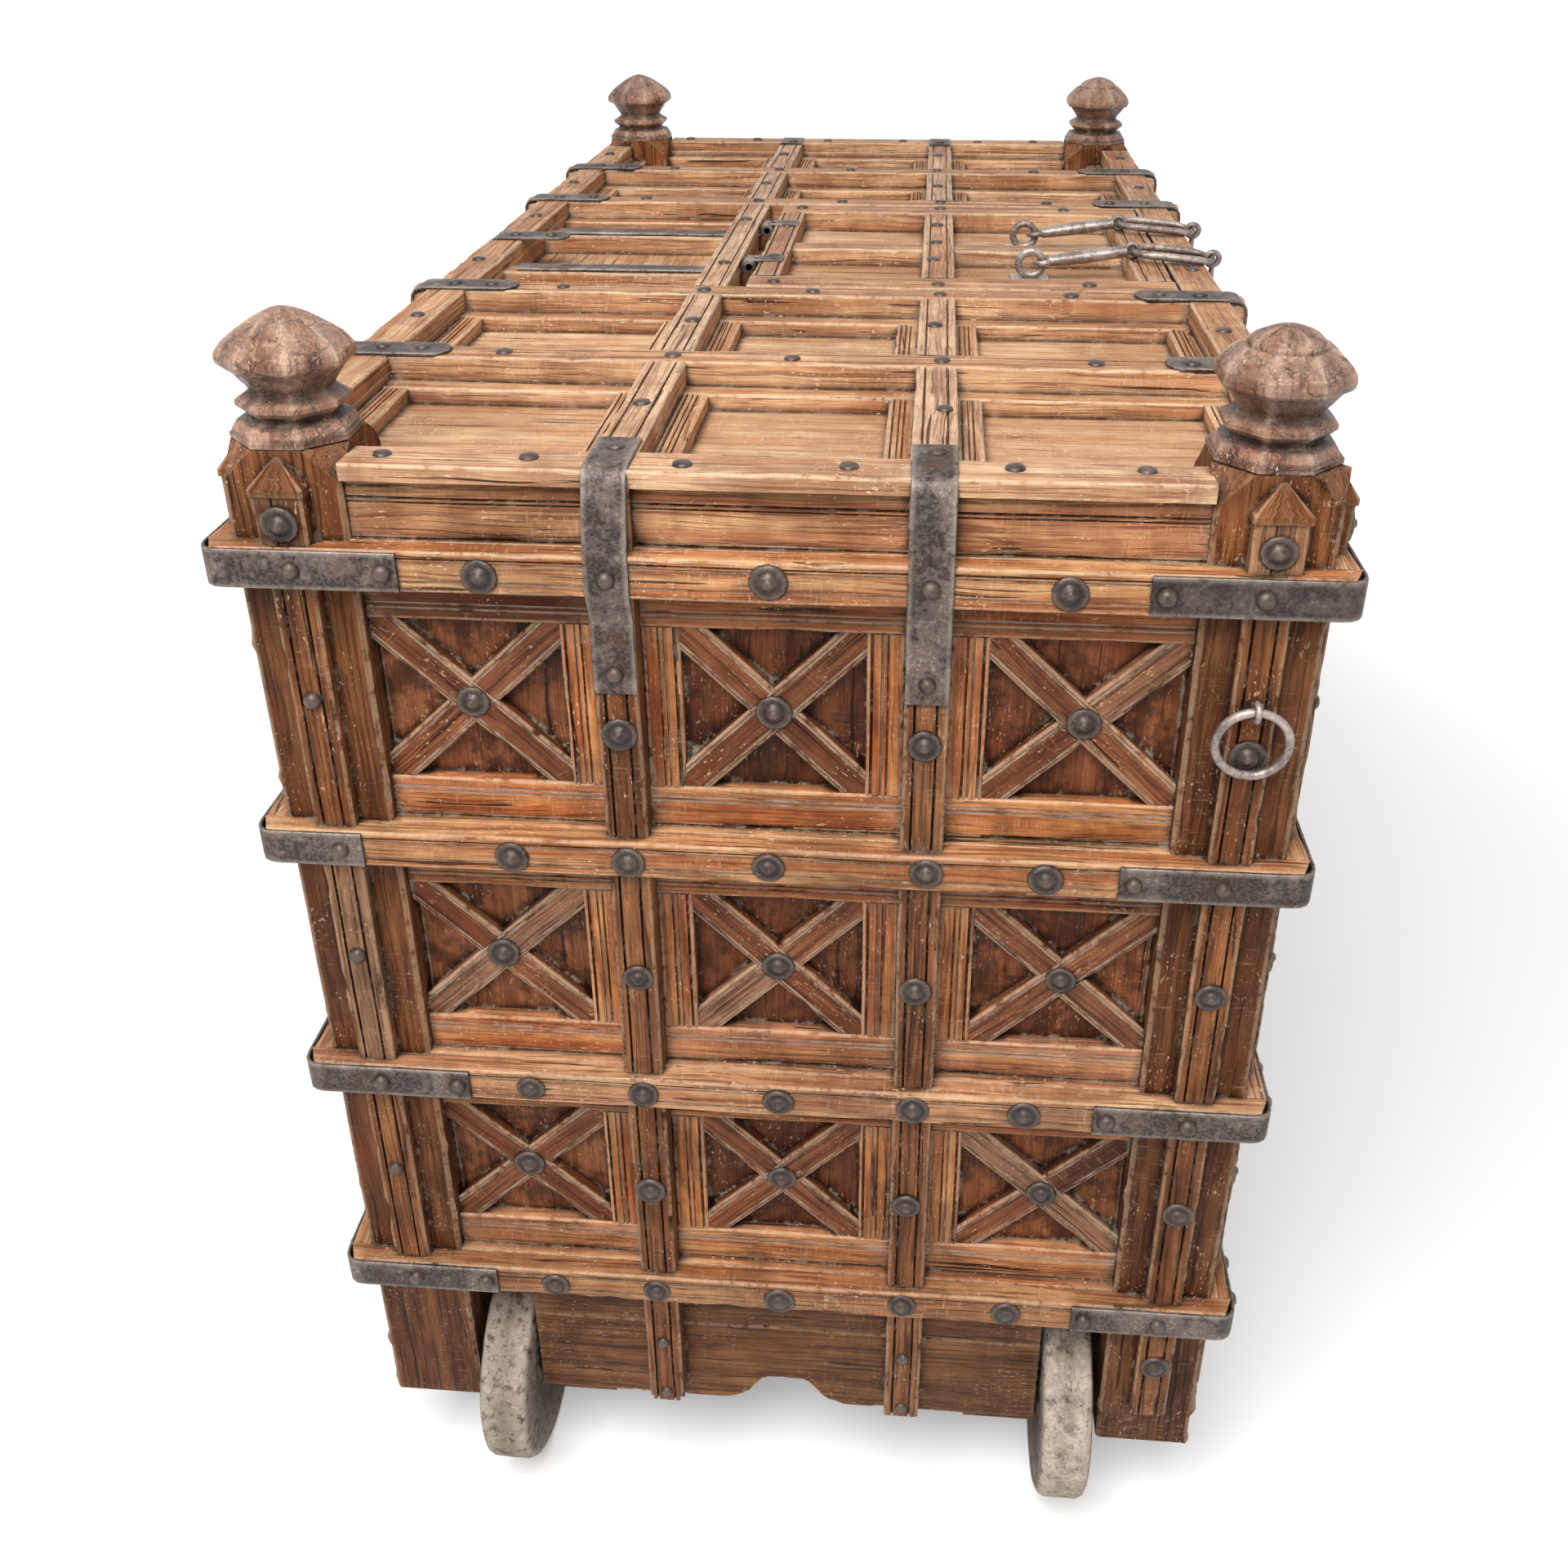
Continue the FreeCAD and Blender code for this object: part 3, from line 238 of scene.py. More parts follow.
# Directions: each wall counts across to its right, up and outwards from the post faces
wallFaces = {"left": ((-wallX, 0, 0), (0, -1, 0), (-1, 0, 0)), "right": ((wallX, 0, 0), (0, 1, 0), (1, 0, 0)),
             "front": ((0, -wallY, 0), (1, 0, 0), (0, -1, 0)), "back": ((0, wallY, 0), (-1, 0, 0), (0, 1, 0))}
endWalls, sideWalls = ("left", "right"), ("front", "back")
wallHalf = {"left": postInY, "right": postInY, "front": postInX, "back": postInX}
battenSteps = {"left": (-0.5, 0.5), "right": (-0.5, 0.5), "front": (-2, -1, 0, 1, 2),
               "back": (-2, -1, 0, 1, 2)}
upTurn = Matrix(((0, -1, 0, 0), (1, 0, 0, 0), (0, 0, 1, 0), (0, 0, 0, 1)))  # a bar stood on its end
roof = Matrix.Identity(4)  # the top counts along X, along Y and up


def wallMatrix(origin, across, out):
    matrix = Matrix((across, (0, 0, 1), out)).transposed().to_4x4()
    matrix.translation = origin
    return matrix


walls = {side: wallMatrix(*face) for side, face in wallFaces.items()}


def seams(side):
    # joints of the boards of a wall, behind its battens
    return [-wallHalf[side]] + [step * battenPitch for step in battenSteps[side]] + [wallHalf[side]]


def level(heap, base, across, up, depth, **stock):
    # a level bar between limits across, with its height and depth limits
    bar = barStock(across[1] - across[0], up[1] - up[0], depth[1] - depth[0], **stock)
    lay(heap, bar, base @ Matrix.Translation((across[0], (up[0] + up[1]) / 2, depth[0])))


def upright(heap, base, across, up, depth, **stock):
    bar = barStock(up[1] - up[0], across[1] - across[0], depth[1] - depth[0], **stock)
    lay(heap, bar, base @ Matrix.Translation(((across[0] + across[1]) / 2, up[0], depth[0])) @ upTurn)


def alongX(heap, x, y, z, **stock):
    level(heap, roof, x, y, z, **stock)


def alongY(heap, x, y, z, **stock):
    upright(heap, roof, x, y, z, **stock)


# Finishes

def linear(red, green, blue):
    share = [value / 255 for value in (red, green, blue)]
    return [value / 12.92 if value <= 0.04045 else ((value + 0.055) / 1.055) ** 2.4
            for value in share] + [1.0]


def put(tree, kind, settings=None, inputs=None):
    node = tree.nodes.new(kind)
    for name, value in (settings or {}).items():
        setattr(node, name, value)
    for name, value in (inputs or {}).items():
        if isinstance(value, bpy.types.NodeSocket):
            tree.links.new(value, node.inputs[name])
        else:
            node.inputs[name].default_value = value
    return node


def calc(tree, operation, first, second):
    node = put(tree, "ShaderNodeMath", {"operation": operation, "use_clamp": True}, {0: first, 1: second})
    return node.outputs[0]


def times(tree, first, second):
    return calc(tree, "MULTIPLY", first, second)


def mixed(tree, share, under, over):
    return put(tree, "ShaderNodeMix", {"data_type": "RGBA"}, {0: share, 6: under, 7: over}).outputs[2]


def coated(tree, body, coats):
    # colours laid over each other, each through its mask and with its share
    for mask, share, colour in coats:
        if share:
            body = mixed(tree, times(tree, mask, share), body, colour)
    return body


def ramp(tree, value, low, high, bottom=0.0, top=1.0):
    node = put(tree, "ShaderNodeMapRange", {"interpolation_type": "SMOOTHSTEP"},
               {"Value": value, "From Min": low, "From Max": high, "To Min": bottom, "To Max": top})
    return node.outputs[0]


def cloud(tree, vector, scale, detail=4.0, rough=0.55):
    node = put(tree, "ShaderNodeTexNoise", None,
               {"Vector": vector, "Scale": scale, "Detail": detail, "Roughness": rough})
    return node.outputs[0]


def stretched(tree, vector, scale, spot=(0, 0, 0)):
    node = put(tree, "ShaderNodeMapping", None, {"Vector": vector, "Scale": scale, "Location": spot})
    return node.outputs[0]


def swayed(tree, vector, over, scale, detail, reach):
    # a vector pushed about by noise
    push = put(tree, "ShaderNodeTexNoise", None, {"Vector": over, "Scale": scale, "Detail": detail})
    return put(tree, "ShaderNodeVectorMath", {"operation": "MULTIPLY_ADD"},
               {0: push.outputs["Color"], 1: reach, 2: vector}).outputs[0]


def attribute(tree, name, socket="Fac"):
    return put(tree, "ShaderNodeAttribute", {"attribute_name": name}).outputs[socket]


def newGroup(name, **inputs):
    group = bpy.data.node_groups.new(name, "ShaderNodeTree")
    for socket, kind in inputs.items():
        group.interface.new_socket(socket, in_out="INPUT", socket_type=kind)
    return group, put(group, "NodeGroupInput").outputs


def giveOut(group, **masks):
    for name in masks:
        group.interface.new_socket(name, in_out="OUTPUT", socket_type="NodeSocketFloat")
    put(group, "NodeGroupOutput", None, masks)
    return group


def timberFigure():
    # broad streaks, dark grain lines, fine fibres and open splits that follow each bar,
    # with tool marks and pale flecks
    group, _ = newGroup("timberFigure")
    grain = attribute(group, "grainCo", "Vector")
    bent = swayed(group, grain, stretched(group, grain, (6, 30, 30)), 1.0, 2.0, (0.0, 0.014, 0.014))
    streaks = cloud(group, stretched(group, bent, (3.5, 60, 60)), 1.0, 4.0, 0.6)
    lines = cloud(group, stretched(group, bent, (6, 300, 300), (1, 2, 3)), 1.0, 4.0, 0.6)
    fibres = cloud(group, stretched(group, bent, (22, 900, 900), (3, 1, 2)), 1.0, 3.0, 0.65)
    splits = cloud(group, stretched(group, bent, (3.0, 210, 210), (8, 5, 1)), 1.0, 2.0, 0.5)
    marks = cloud(group, stretched(group, grain, (560, 60, 60), (4, 4, 9)), 1.0, 2.0, 0.5)
    flecks = cloud(group, stretched(group, grain, (170, 420, 420), (2, 7, 5)), 1.0, 2.0, 0.6)
    worked = ramp(group, cloud(group, grain, 13.0, 2.0), 0.5, 0.6)
    scuffed = ramp(group, cloud(group, grain, 19.0, 3.0), 0.48, 0.58)
    return giveOut(group, Figure=ramp(group, streaks, 0.36, 0.66), Line=ramp(group, lines, 0.5, 0.62),
                   Fibre=ramp(group, fibres, 0.38, 0.68), Split=ramp(group, splits, 0.66, 0.69),
                   Scratch=times(group, ramp(group, marks, 0.6, 0.67), worked),
                   Fleck=times(group, ramp(group, flecks, 0.63, 0.68), scuffed),
                   Tone=attribute(group, "tone"))


def ageing():
    # bare edges, pale dust, painted shade in corners and between parts, broad stains, rubbed patches and
    # crackled skin
    group, given = newGroup("ageing", Position="NodeSocketVector", Corner="NodeSocketFloat")
    position = given["Position"]
    patch = cloud(group, position, 38.0, 5.0, 0.65)
    rubbed = cloud(group, position, 85.0, 6.0, 0.72)
    stain = cloud(group, position, 8.0, 6.0, 0.64)
    mottle = cloud(group, position, 27.0, 6.0, 0.68)
    # ambient occlusion: darker in corners, recesses and gaps between parts, used as painted shade; the pale
    # dust also settles by it
    corner = put(group, "ShaderNodeAmbientOcclusion", {"samples": 8},
                 {"Distance": given["Corner"]}).outputs["AO"]
    shut, tight = ramp(group, corner, 0.94, 0.45), ramp(group, corner, 0.76, 0.46)
    settled = times(group, ramp(group, rubbed, 0.46, 0.54), ramp(group, patch, 0.46, 0.58))
    patchyShade = times(group, shut, ramp(group, stain, 0.25, 0.5, 0.45, 0.8))
    cells = put(group, "ShaderNodeTexVoronoi", {"feature": "DISTANCE_TO_EDGE"},
                {"Vector": swayed(group, position, position, 45.0, 3.0, (0.03, 0.03, 0.03)), "Scale": 36.0})
    cracks = ramp(group, cells.outputs["Distance"], 0.06, 0.0)
    # one output is painted shade from the occlusion, its strength varied by a stain noise
    return giveOut(group, Worn=times(group, attribute(group, "wear"), ramp(group, rubbed, 0.34, 0.52)),
                   Dust=times(group, tight, settled), Grime=calc(group, "MAXIMUM", patchyShade, tight),
                   Stain=ramp(group, stain, 0.44, 0.62),
                   Cut=times(group, attribute(group, "groove"), ramp(group, patch, 0.3, 0.55, 0.2, 1.0)),
                   Mottle=ramp(group, mottle, 0.43, 0.6),
                   Crack=times(group, cracks, ramp(group, patch, 0.42, 0.5)))


def forging():
    # scale, rust and hammer marks
    group, given = newGroup("forging", Position="NodeSocketVector")
    position = given["Position"]
    fine = cloud(group, position, 260.0, 5.0, 0.75)
    dents = put(group, "ShaderNodeTexVoronoi", {"feature": "SMOOTH_F1"},
                {"Vector": position, "Scale": 95.0, "Smoothness": 0.6}).outputs["Distance"]
    rubbed = ramp(group, cloud(group, position, 21.0, 8.0, 0.76), 0.46, 0.58)
    bright = times(group, rubbed, ramp(group, fine, 0.32, 0.68, 0.52, 0.9))
    dull = times(group, calc(group, "SUBTRACT", 1.0, rubbed), ramp(group, fine, 0.36, 0.7, 0.12, 0.5))
    rust = ramp(group, cloud(group, position, 17.0, 5.0, 0.7), 0.52, 0.72)
    return giveOut(group, Scale=calc(group, "ADD", bright, dull), Rust=rust,
                   Dent=calc(group, "ADD", times(group, dents, 0.6), times(group, fine, 0.5)))


shared = {"figure": timberFigure(), "age": ageing(), "forge": forging()}


def groupNode(tree, group, **inputs):
    return put(tree, "ShaderNodeGroup", {"node_tree": shared[group]}, inputs).outputs


def startMaterial(name):
    material = bpy.data.materials.new(name)
    material.use_nodes = True
    tree = material.node_tree
    shader = next(node for node in tree.nodes if node.type == "BSDF_PRINCIPLED")
    return material, tree, shader, put(tree, "ShaderNodeTexCoord").outputs["Object"]


def dress(tree, shader, body, rough, relief, strength, distance):
    bump = put(tree, "ShaderNodeBump", None, {"Strength": strength, "Distance": distance, "Height": relief})
    for name, value in (("Base Color", body), ("Roughness", rough), ("Normal", bump.outputs[0])):
        tree.links.new(value, shader.inputs[name])


# Timber colours as they look in plain daylight, and the shares that most timbers have
plainTimber = {"wornShare": 0.4, "dust": 0.3, "rough": 0.5, "mottle": 0.26, "line": 0.66, "mark": 0.26,
               "crack": 0.0, "shine": 0.16, "corner": 0.011, "dustColour": (200, 192, 172)}
# each timber's darkest colour is for its splits and cracks, and for the painted shade in its corners and
# between parts
timbers = {
    "post_wood": {"late": (42, 20, 9), "heart": (128, 71, 38), "sap": (170, 110, 66), "bare": (212, 178, 144),
                  "groove": (32, 17, 9), "shadeAndCracks": (26, 14, 8), "wornShare": 0.38, "dust": 0.25, "rough": 0.6,
                  "mark": 0.2},
    # the finial's groove colour is the painted shade in its necks and under its cap
    "finial_wood": {"late": (70, 38, 26), "heart": (144, 90, 62), "sap": (192, 140, 108),
                    "bare": (228, 196, 172), "groove": (52, 32, 23), "shadeAndCracks": (34, 19, 13),
                    "wornShare": 0.5, "dust": 0.25, "rough": 0.42, "mottle": 0.4, "crack": 0.9,
                    "shine": 0.45},
    "belt_wood": {"late": (94, 44, 20), "heart": (190, 117, 70), "sap": (228, 175, 122),
                  "bare": (236, 200, 166), "groove": (230, 196, 166), "shadeAndCracks": (38, 19, 10), "rough": 0.52},
    "frame_wood": {"late": (74, 31, 13), "heart": (192, 106, 58), "sap": (232, 160, 100),
                   "bare": (234, 194, 158), "groove": (234, 200, 176), "shadeAndCracks": (30, 15, 9),
                   "wornShare": 0.46, "dust": 0.35, "line": 0.54},
    "panel_wood": {"late": (56, 25, 15), "heart": (126, 68, 41), "sap": (166, 104, 66),
                   "bare": (216, 180, 146), "groove": (224, 192, 166), "shadeAndCracks": (28, 14, 9),
                   "wornShare": 0.55, "dust": 0.6, "rough": 0.46, "mark": 0.2},
    "field_wood": {"late": (48, 22, 13), "heart": (134, 72, 42), "sap": (166, 101, 62),
                   "bare": (198, 160, 128), "groove": (60, 34, 20), "shadeAndCracks": (26, 14, 9), "dust": 0.6,
                   "rough": 0.46, "line": 0.2, "mark": 0.1, "mottle": 0.75},
    "top_wood": {"late": (124, 72, 42), "heart": (202, 142, 97), "sap": (232, 189, 144),
                 "bare": (242, 215, 184), "groove": (92, 52, 30), "shadeAndCracks": (46, 24, 13), "wornShare": 0.42},
    "board_wood": {"late": (154, 102, 68), "heart": (222, 173, 130), "sap": (243, 211, 172),
                   "bare": (247, 225, 198), "groove": (100, 60, 36), "shadeAndCracks": (60, 34, 20)},
    "under_wood": {"late": (46, 25, 14), "heart": (112, 69, 40), "sap": (152, 103, 66),
                   "bare": (196, 158, 124), "groove": (34, 21, 14), "shadeAndCracks": (28, 16, 10), "dust": 0.4,
                   "rough": 0.62, "mark": 0.12},
    "wheel_wood": {"late": (58, 42, 33), "heart": (140, 114, 97), "sap": (204, 184, 164),
                   "bare": (238, 224, 208), "groove": (70, 48, 34), "shadeAndCracks": (54, 37, 27), "wornShare": 0.5,
                   "dust": 0.6, "rough": 0.8, "mottle": 0.5},
}


def timber(name, look):
    look = {**plainTimber, **look}
    late, heart, sap, bare, groove, shadeAndCracks, dust = (linear(*look[part]) for part in (
        "late", "heart", "sap", "bare", "groove", "shadeAndCracks", "dustColour"))
    material, tree, shader, position = startMaterial(name)
    figure = groupNode(tree, "figure")
    age = groupNode(tree, "age", Position=position, Corner=look["corner"])
    # the darkest colour paints splits and cracks, and also paints shade into corners and between parts from
    # the ageing group's occlusion output
    body = coated(tree, mixed(tree, figure["Figure"], heart, sap), [
        (ramp(tree, figure["Tone"], 0.0, -2.6), 0.94, late),
        (ramp(tree, figure["Tone"], 0.0, 1.6), 0.4, bare), (age["Stain"], 0.42, late),
        (age["Mottle"], look["mottle"], late), (figure["Line"], look["line"], late),
        (figure["Fibre"], 0.34, late), (figure["Scratch"], look["mark"], bare),
        (figure["Split"], 0.9, shadeAndCracks), (age["Crack"], look["crack"], shadeAndCracks), (age["Grime"], 0.9, shadeAndCracks),
        (age["Worn"], look["wornShare"], bare), (age["Cut"], 0.85, groove), (figure["Fleck"], 0.75, bare),
        (age["Dust"], look["dust"], dust)])
    relief = 1.0
    for mask, deep in ((figure["Line"], 0.45), (figure["Fibre"], 0.25), (figure["Split"], 0.4),
                       (age["Crack"], look["crack"])):
        if deep:
            relief = calc(tree, "SUBTRACT", relief, times(tree, mask, deep))
    rough = calc(tree, "ADD", times(tree, figure["Fibre"], 0.2), look["rough"] - 0.12)
    dress(tree, shader, body, rough, relief, 0.6, 0.0018)
    shader.inputs["Specular IOR Level"].default_value = look["shine"]
    return material


# each iron's share of painted shade darkens it in corners and between parts
irons = {
    "strap_iron": {"dark": (36, 28, 25), "mid": (102, 88, 81), "pale": (178, 165, 153), "rust": (100, 68, 50),
                   "rustShare": 0.5, "rough": 0.48, "metal": 0.45, "paintedShade": 0.6},
    "chain_iron": {"dark": (84, 72, 66), "mid": (158, 144, 136), "pale": (218, 208, 200),
                   "rust": (122, 88, 66), "rustShare": 0.3, "rough": 0.42, "metal": 0.5, "paintedShade": 0.4},
    "stud_iron": {"dark": (26, 19, 16), "mid": (58, 44, 37), "pale": (128, 110, 98), "rust": (70, 43, 30),
                  "rustShare": 0.45, "rough": 0.36, "metal": 0.3, "paintedShade": 0.35},
}


def iron(name, look):
    dark, mid, pale, rust = (linear(*look[part]) for part in ("dark", "mid", "pale", "rust"))
    material, tree, shader, position = startMaterial(name)
    forge = groupNode(tree, "forge", Position=position)
    age = groupNode(tree, "age", Position=position, Corner=0.012)
    tone = attribute(tree, "tone")
    # the last coat is painted shade in corners and between parts, from the ageing group's occlusion output
    body = coated(tree, mixed(tree, ramp(tree, forge["Scale"], 0.1, 0.6), dark, mid), [
        (ramp(tree, forge["Scale"], 0.68, 1.0), 0.8, pale), (forge["Rust"], look["rustShare"], rust),
        (ramp(tree, tone, 0.0, -1.0), 0.6, dark), (ramp(tree, tone, 0.8, 2.0), 0.5, pale),
        (age["Worn"], 0.4, pale), (age["Grime"], look["paintedShade"], dark)])
    rough = calc(tree, "ADD", times(tree, forge["Rust"], 0.25), look["rough"])
    dress(tree, shader, body, rough, forge["Dent"], 0.5, 0.0016)
    shader.inputs["Metallic"].default_value = look["metal"]
    return material


finishes = {name: timber(name, look) for name, look in timbers.items()}
finishes.update({name: iron(name, look) for name, look in irons.items()})
print("finishes ready:", len(finishes))

# Corner posts: square legs whose corners run out into an eight-sided finial
postLook = {"edge": 0.003, "face": 0.95, "tongue": 0.025, "shoulder": topZ + 0.008, "pitch": 0.0083,
            "wobble": 0.0009, "chip": 0.010, "chipFrom": 0.25, "lean": -1.0, "facetWear": 0.2,
            "headTone": -0.2}
# the finial's listed bands of rise paint shade into its necks and steps and under the brim of its cap
finialLook = {"radius": 0.051, "dent": 0.016, "rough": 0.012, "chip": 0.09, "chipFrom": 0.15, "steps": 64,
              "lean": {"back": 0.2, "front": -0.9},
              "paintedShade": [(0.05, 0.07, 0.8), (0.15, 0.2, 0.9), (0.33, 0.42, 0.8), (0.42, 0.578, 0.6)]}
# Outlines as rise and spread, shares of the finial's height and radius
finialFoot = [(0.0, 0.945), (0.012, 0.965), (0.05, 0.965), (0.06, 0.93), (0.085, 0.915), (0.13, 0.86),
              (0.152, 0.82), (0.16, 0.74), (0.175, 0.67), (0.195, 0.68), (0.225, 0.76), (0.262, 0.835),
              (0.3, 0.835), (0.315, 0.79), (0.345, 0.68), (0.372, 0.62), (0.4, 0.64)]
finialHead = {"back": [(0.45, 0.71), (0.52, 0.8), (0.572, 0.875), (0.58, 0.955), (0.6, 0.985), (0.64, 1.0),
                       (0.68, 0.985), (0.725, 0.93), (0.775, 0.84), (0.84, 0.67), (0.91, 0.47), (0.955, 0.29),
                       (0.985, 0.14), (1.0, 0.0)],
              "front": [(0.44, 0.7), (0.5, 0.79), (0.555, 0.86), (0.563, 0.93), (0.585, 0.96), (0.63, 0.975),
                        (0.68, 0.955), (0.73, 0.895), (0.78, 0.8), (0.83, 0.69), (0.845, 0.64),
                        (0.838, 0.575), (0.862, 0.565), (0.89, 0.53), (0.92, 0.46), (0.95, 0.35),
                        (0.98, 0.2), (1.0, 0.0)]}


def shaftStock():
    # sixteen points round, so that the four corners can open into facets below the finial
    half, edge = postSize / 2, postLook["edge"]
    facet = half * (1 - math.tan(math.pi / 8))  # corner cut of a regular octagon
    ring = []
    for turn in range(4):
        for across, worn in ((-1, 1), (-postLook["face"], 0), (postLook["face"], 0), (1, 1)):
            spot = Matrix.Rotation(turn * math.pi / 2, 2) @ Vector((half, across * (half - edge)))
            ring.append((spot.x, spot.y, worn, 0))
    height = postLook["shoulder"] - legFoot
    stock = drawOut(ring, round(height / postLook["pitch"]), height)
    grained(stock, 0.3, postLook["lean"])
    grain, wear, tone = (layer(stock, name) for name in ("grainCo", "wear", "tone"))
    for vert in stock.verts:
        spot = vert[grain].copy()
        shift = spot - vert.co
        opened = max(0.0, (vert.co.x - height + postLook["tongue"]) / postLook["tongue"])
        flat = (half - edge - (facet - edge) * opened) / (half - edge)
        side = "z" if abs(vert.co.y) >= half - hair else "y"
        setattr(vert.co, side, getattr(vert.co, side) * flat)
        rub = postLook["wobble"] * noise.noise(Vector((spot.x * 8, spot.y * 25, spot.z * 25)))
        if vert[wear] > 0.5:
            bite = noise.noise(Vector((spot.x * 30, spot.y * 9, spot.z * 9))) - postLook["chipFrom"]
            rub -= postLook["chip"] * max(0.0, bite)
        vert.co.y += math.copysign(rub, vert.co.y)
        vert.co.z += math.copysign(rub, vert.co.z)
        vert[grain] = vert.co + shift
        if opened > 0:
            vert[wear] *= postLook["facetWear"]
        if vert.co.x + legFoot > beltTop - beltHigh / 2:
            vert[tone] = postLook["headTone"]
    closeEnds(stock)
    return stock


def finialStock(side):
    # turned, then carved to eight worn facets
    height = finialTop - postLook["shoulder"]
    outline = finialFoot + finialHead[side]
    profile = [(spread * finialLook["radius"], rise * height, 0.5) for rise, spread in outline]
    stock = turnedStock(profile, finialLook["steps"], 0.3, finialLook["lean"][side])
    grain, wear, groove = (layer(stock, name) for name in ("grainCo", "wear", "groove"))
    shift = Vector((dice.uniform(0, 9), dice.uniform(0, 9), dice.uniform(0, 9)))
    eighth = math.pi / 8
    for vert in stock.verts:
        radius = Vector((vert.co.x, vert.co.y)).length
        turn = math.atan2(vert.co.y, vert.co.x)
        facet = (turn + eighth) % (2 * eighth) - eighth
        ridge = (abs(facet) / eighth) ** 4
        dent = noise.noise(vert.co * 34 + shift)
        rough = noise.noise(vert.co * 130 + shift)
        chip = max(0.0, noise.noise(vert.co * 60 - shift) - finialLook["chipFrom"]) * ridge
        grow = 1 / math.cos(facet) * (1 + finialLook["dent"] * dent + finialLook["rough"] * rough)
        grow -= finialLook["chip"] * chip
        vert.co.x *= grow
        vert.co.y *= grow
        share = vert.co.z / height
        vert[wear] = min(1.0, max(0.0, 0.25 + 0.75 * ridge + 0.6 * dent))
        # painted shade: listed bands of rise in the necks and under the cap, carried in the groove layer
        vert[groove] = next((dark for low, high, dark in finialLook["paintedShade"] if low < share < high), 0.0)
        vert[grain] = Vector((vert.co.z, turn * 0.05, radius)) + shift
    return stock


def post(name, side, x, y):
    shaft, finial = newStock(), newStock()
    lay(shaft, shaftStock(), Matrix(((0, 1, 0, x), (0, 0, 1, y), (1, 0, 0, legFoot), (0, 0, 0, 1))))
    lay(finial, finialStock(side), Matrix.Translation((x, y, postLook["shoulder"])))
    settle(shaft, name, "post_wood", kind="shaft")
    settle(finial, name, "post_wood", smooth=13, finish="finial_wood", kind="finial")


for end, signX in zip(endWalls, signs):
    for side, signY in zip(sideWalls, signs):
        post(f"corner_post_{side}_{end}", side, signX * (wallX - postSize / 2),
             signY * (wallY - postSize / 2))
print("posts and finials made")

# Belts with two pale lines, and the plain rails behind them
beltLook = {"thick": 0.020, "corner": 0.009, "rail": 0.026,
            "lines": [(-0.0085, 0.0011, 0.0018, 1), (0.0085, 0.0011, 0.0018, 1), (0.0118, 0.0008, 0.0016, 0)]}
beltX, beltY = wallX + beltLook["thick"], wallY + beltLook["thick"]
for side in walls:
    half = beltY if side in endWalls else wallX
    heap = newStock()
    for foot in levels:
        stock = barStock(2 * half, beltHigh, beltLook["thick"], lines=beltLook["lines"], pitch=0.02,
                         nick=0.008, wobble=0.0008)
        if side in endWalls:
            for vert in stock.verts:
                if abs(vert.co.x - half) > half - hair and vert.co.z > beltLook["thick"] / 2:
                    trim = beltLook["corner"] * vert.co.z / beltLook["thick"]
                    vert.co.x -= math.copysign(trim, vert.co.x - half)
        lay(heap, stock, walls[side] @ Matrix.Translation((-half, foot + beltHigh / 2, 0)))
    settle(heap, f"belts_{side}", "belt_wood")
heap = newStock()
for side, half in wallHalf.items():
    for foot in levels:
        level(heap, walls[side], (-half, half), (foot, foot + beltHigh), (-beltLook["rail"], 0.0), pitch=0.1)
settle(heap, "wall_rails", "belt_wood")
print("belts made")

# Wall boards, panel frames, crossed bars and battens
wallLook = {"boardBack": -0.048, "boardFront": -0.026, "boardDrop": 0.018, "frameFront": -0.012,
            "crossFront": -0.014, "frameBar": 0.040, "stile": 0.032, "crossWide": 0.031, "crossSpare": 0.02,
            "battenWide": 0.037, "battenProud": 0.012, "battenLift": 0.025, "legLift": 0.058,
            "friezeStrip": (-0.006, 0.004), "lowBarPaintedLight": 0.5, "highBarPaintedShade": -0.9}
barLines = {"frame": [(0.0055, 0.0015, 0.002, 1), (0.0102, 0.0015, 0.002, 1)],
            "stile": [(0.0115, 0.0013, 0.0028, 0), (-0.002, 0.001, 0.002, 0), (0.003, 0.001, 0.002, 0.3)],
            "cross": [(-0.0108, 0.0013, 0.0018, 1), (0.0108, 0.0013, 0.0018, 1)],
            "batten": [(-0.0085, 0.0011, 0.0032, 1), (0.0098, 0.0012, 0.0034, 1)]}
rows = [(foot + beltHigh, foot + beltPitch) for foot in levels[:3]]


def mirrored(lines):
    return [(-at, reach, deep, tint) for at, reach, deep, tint in lines]


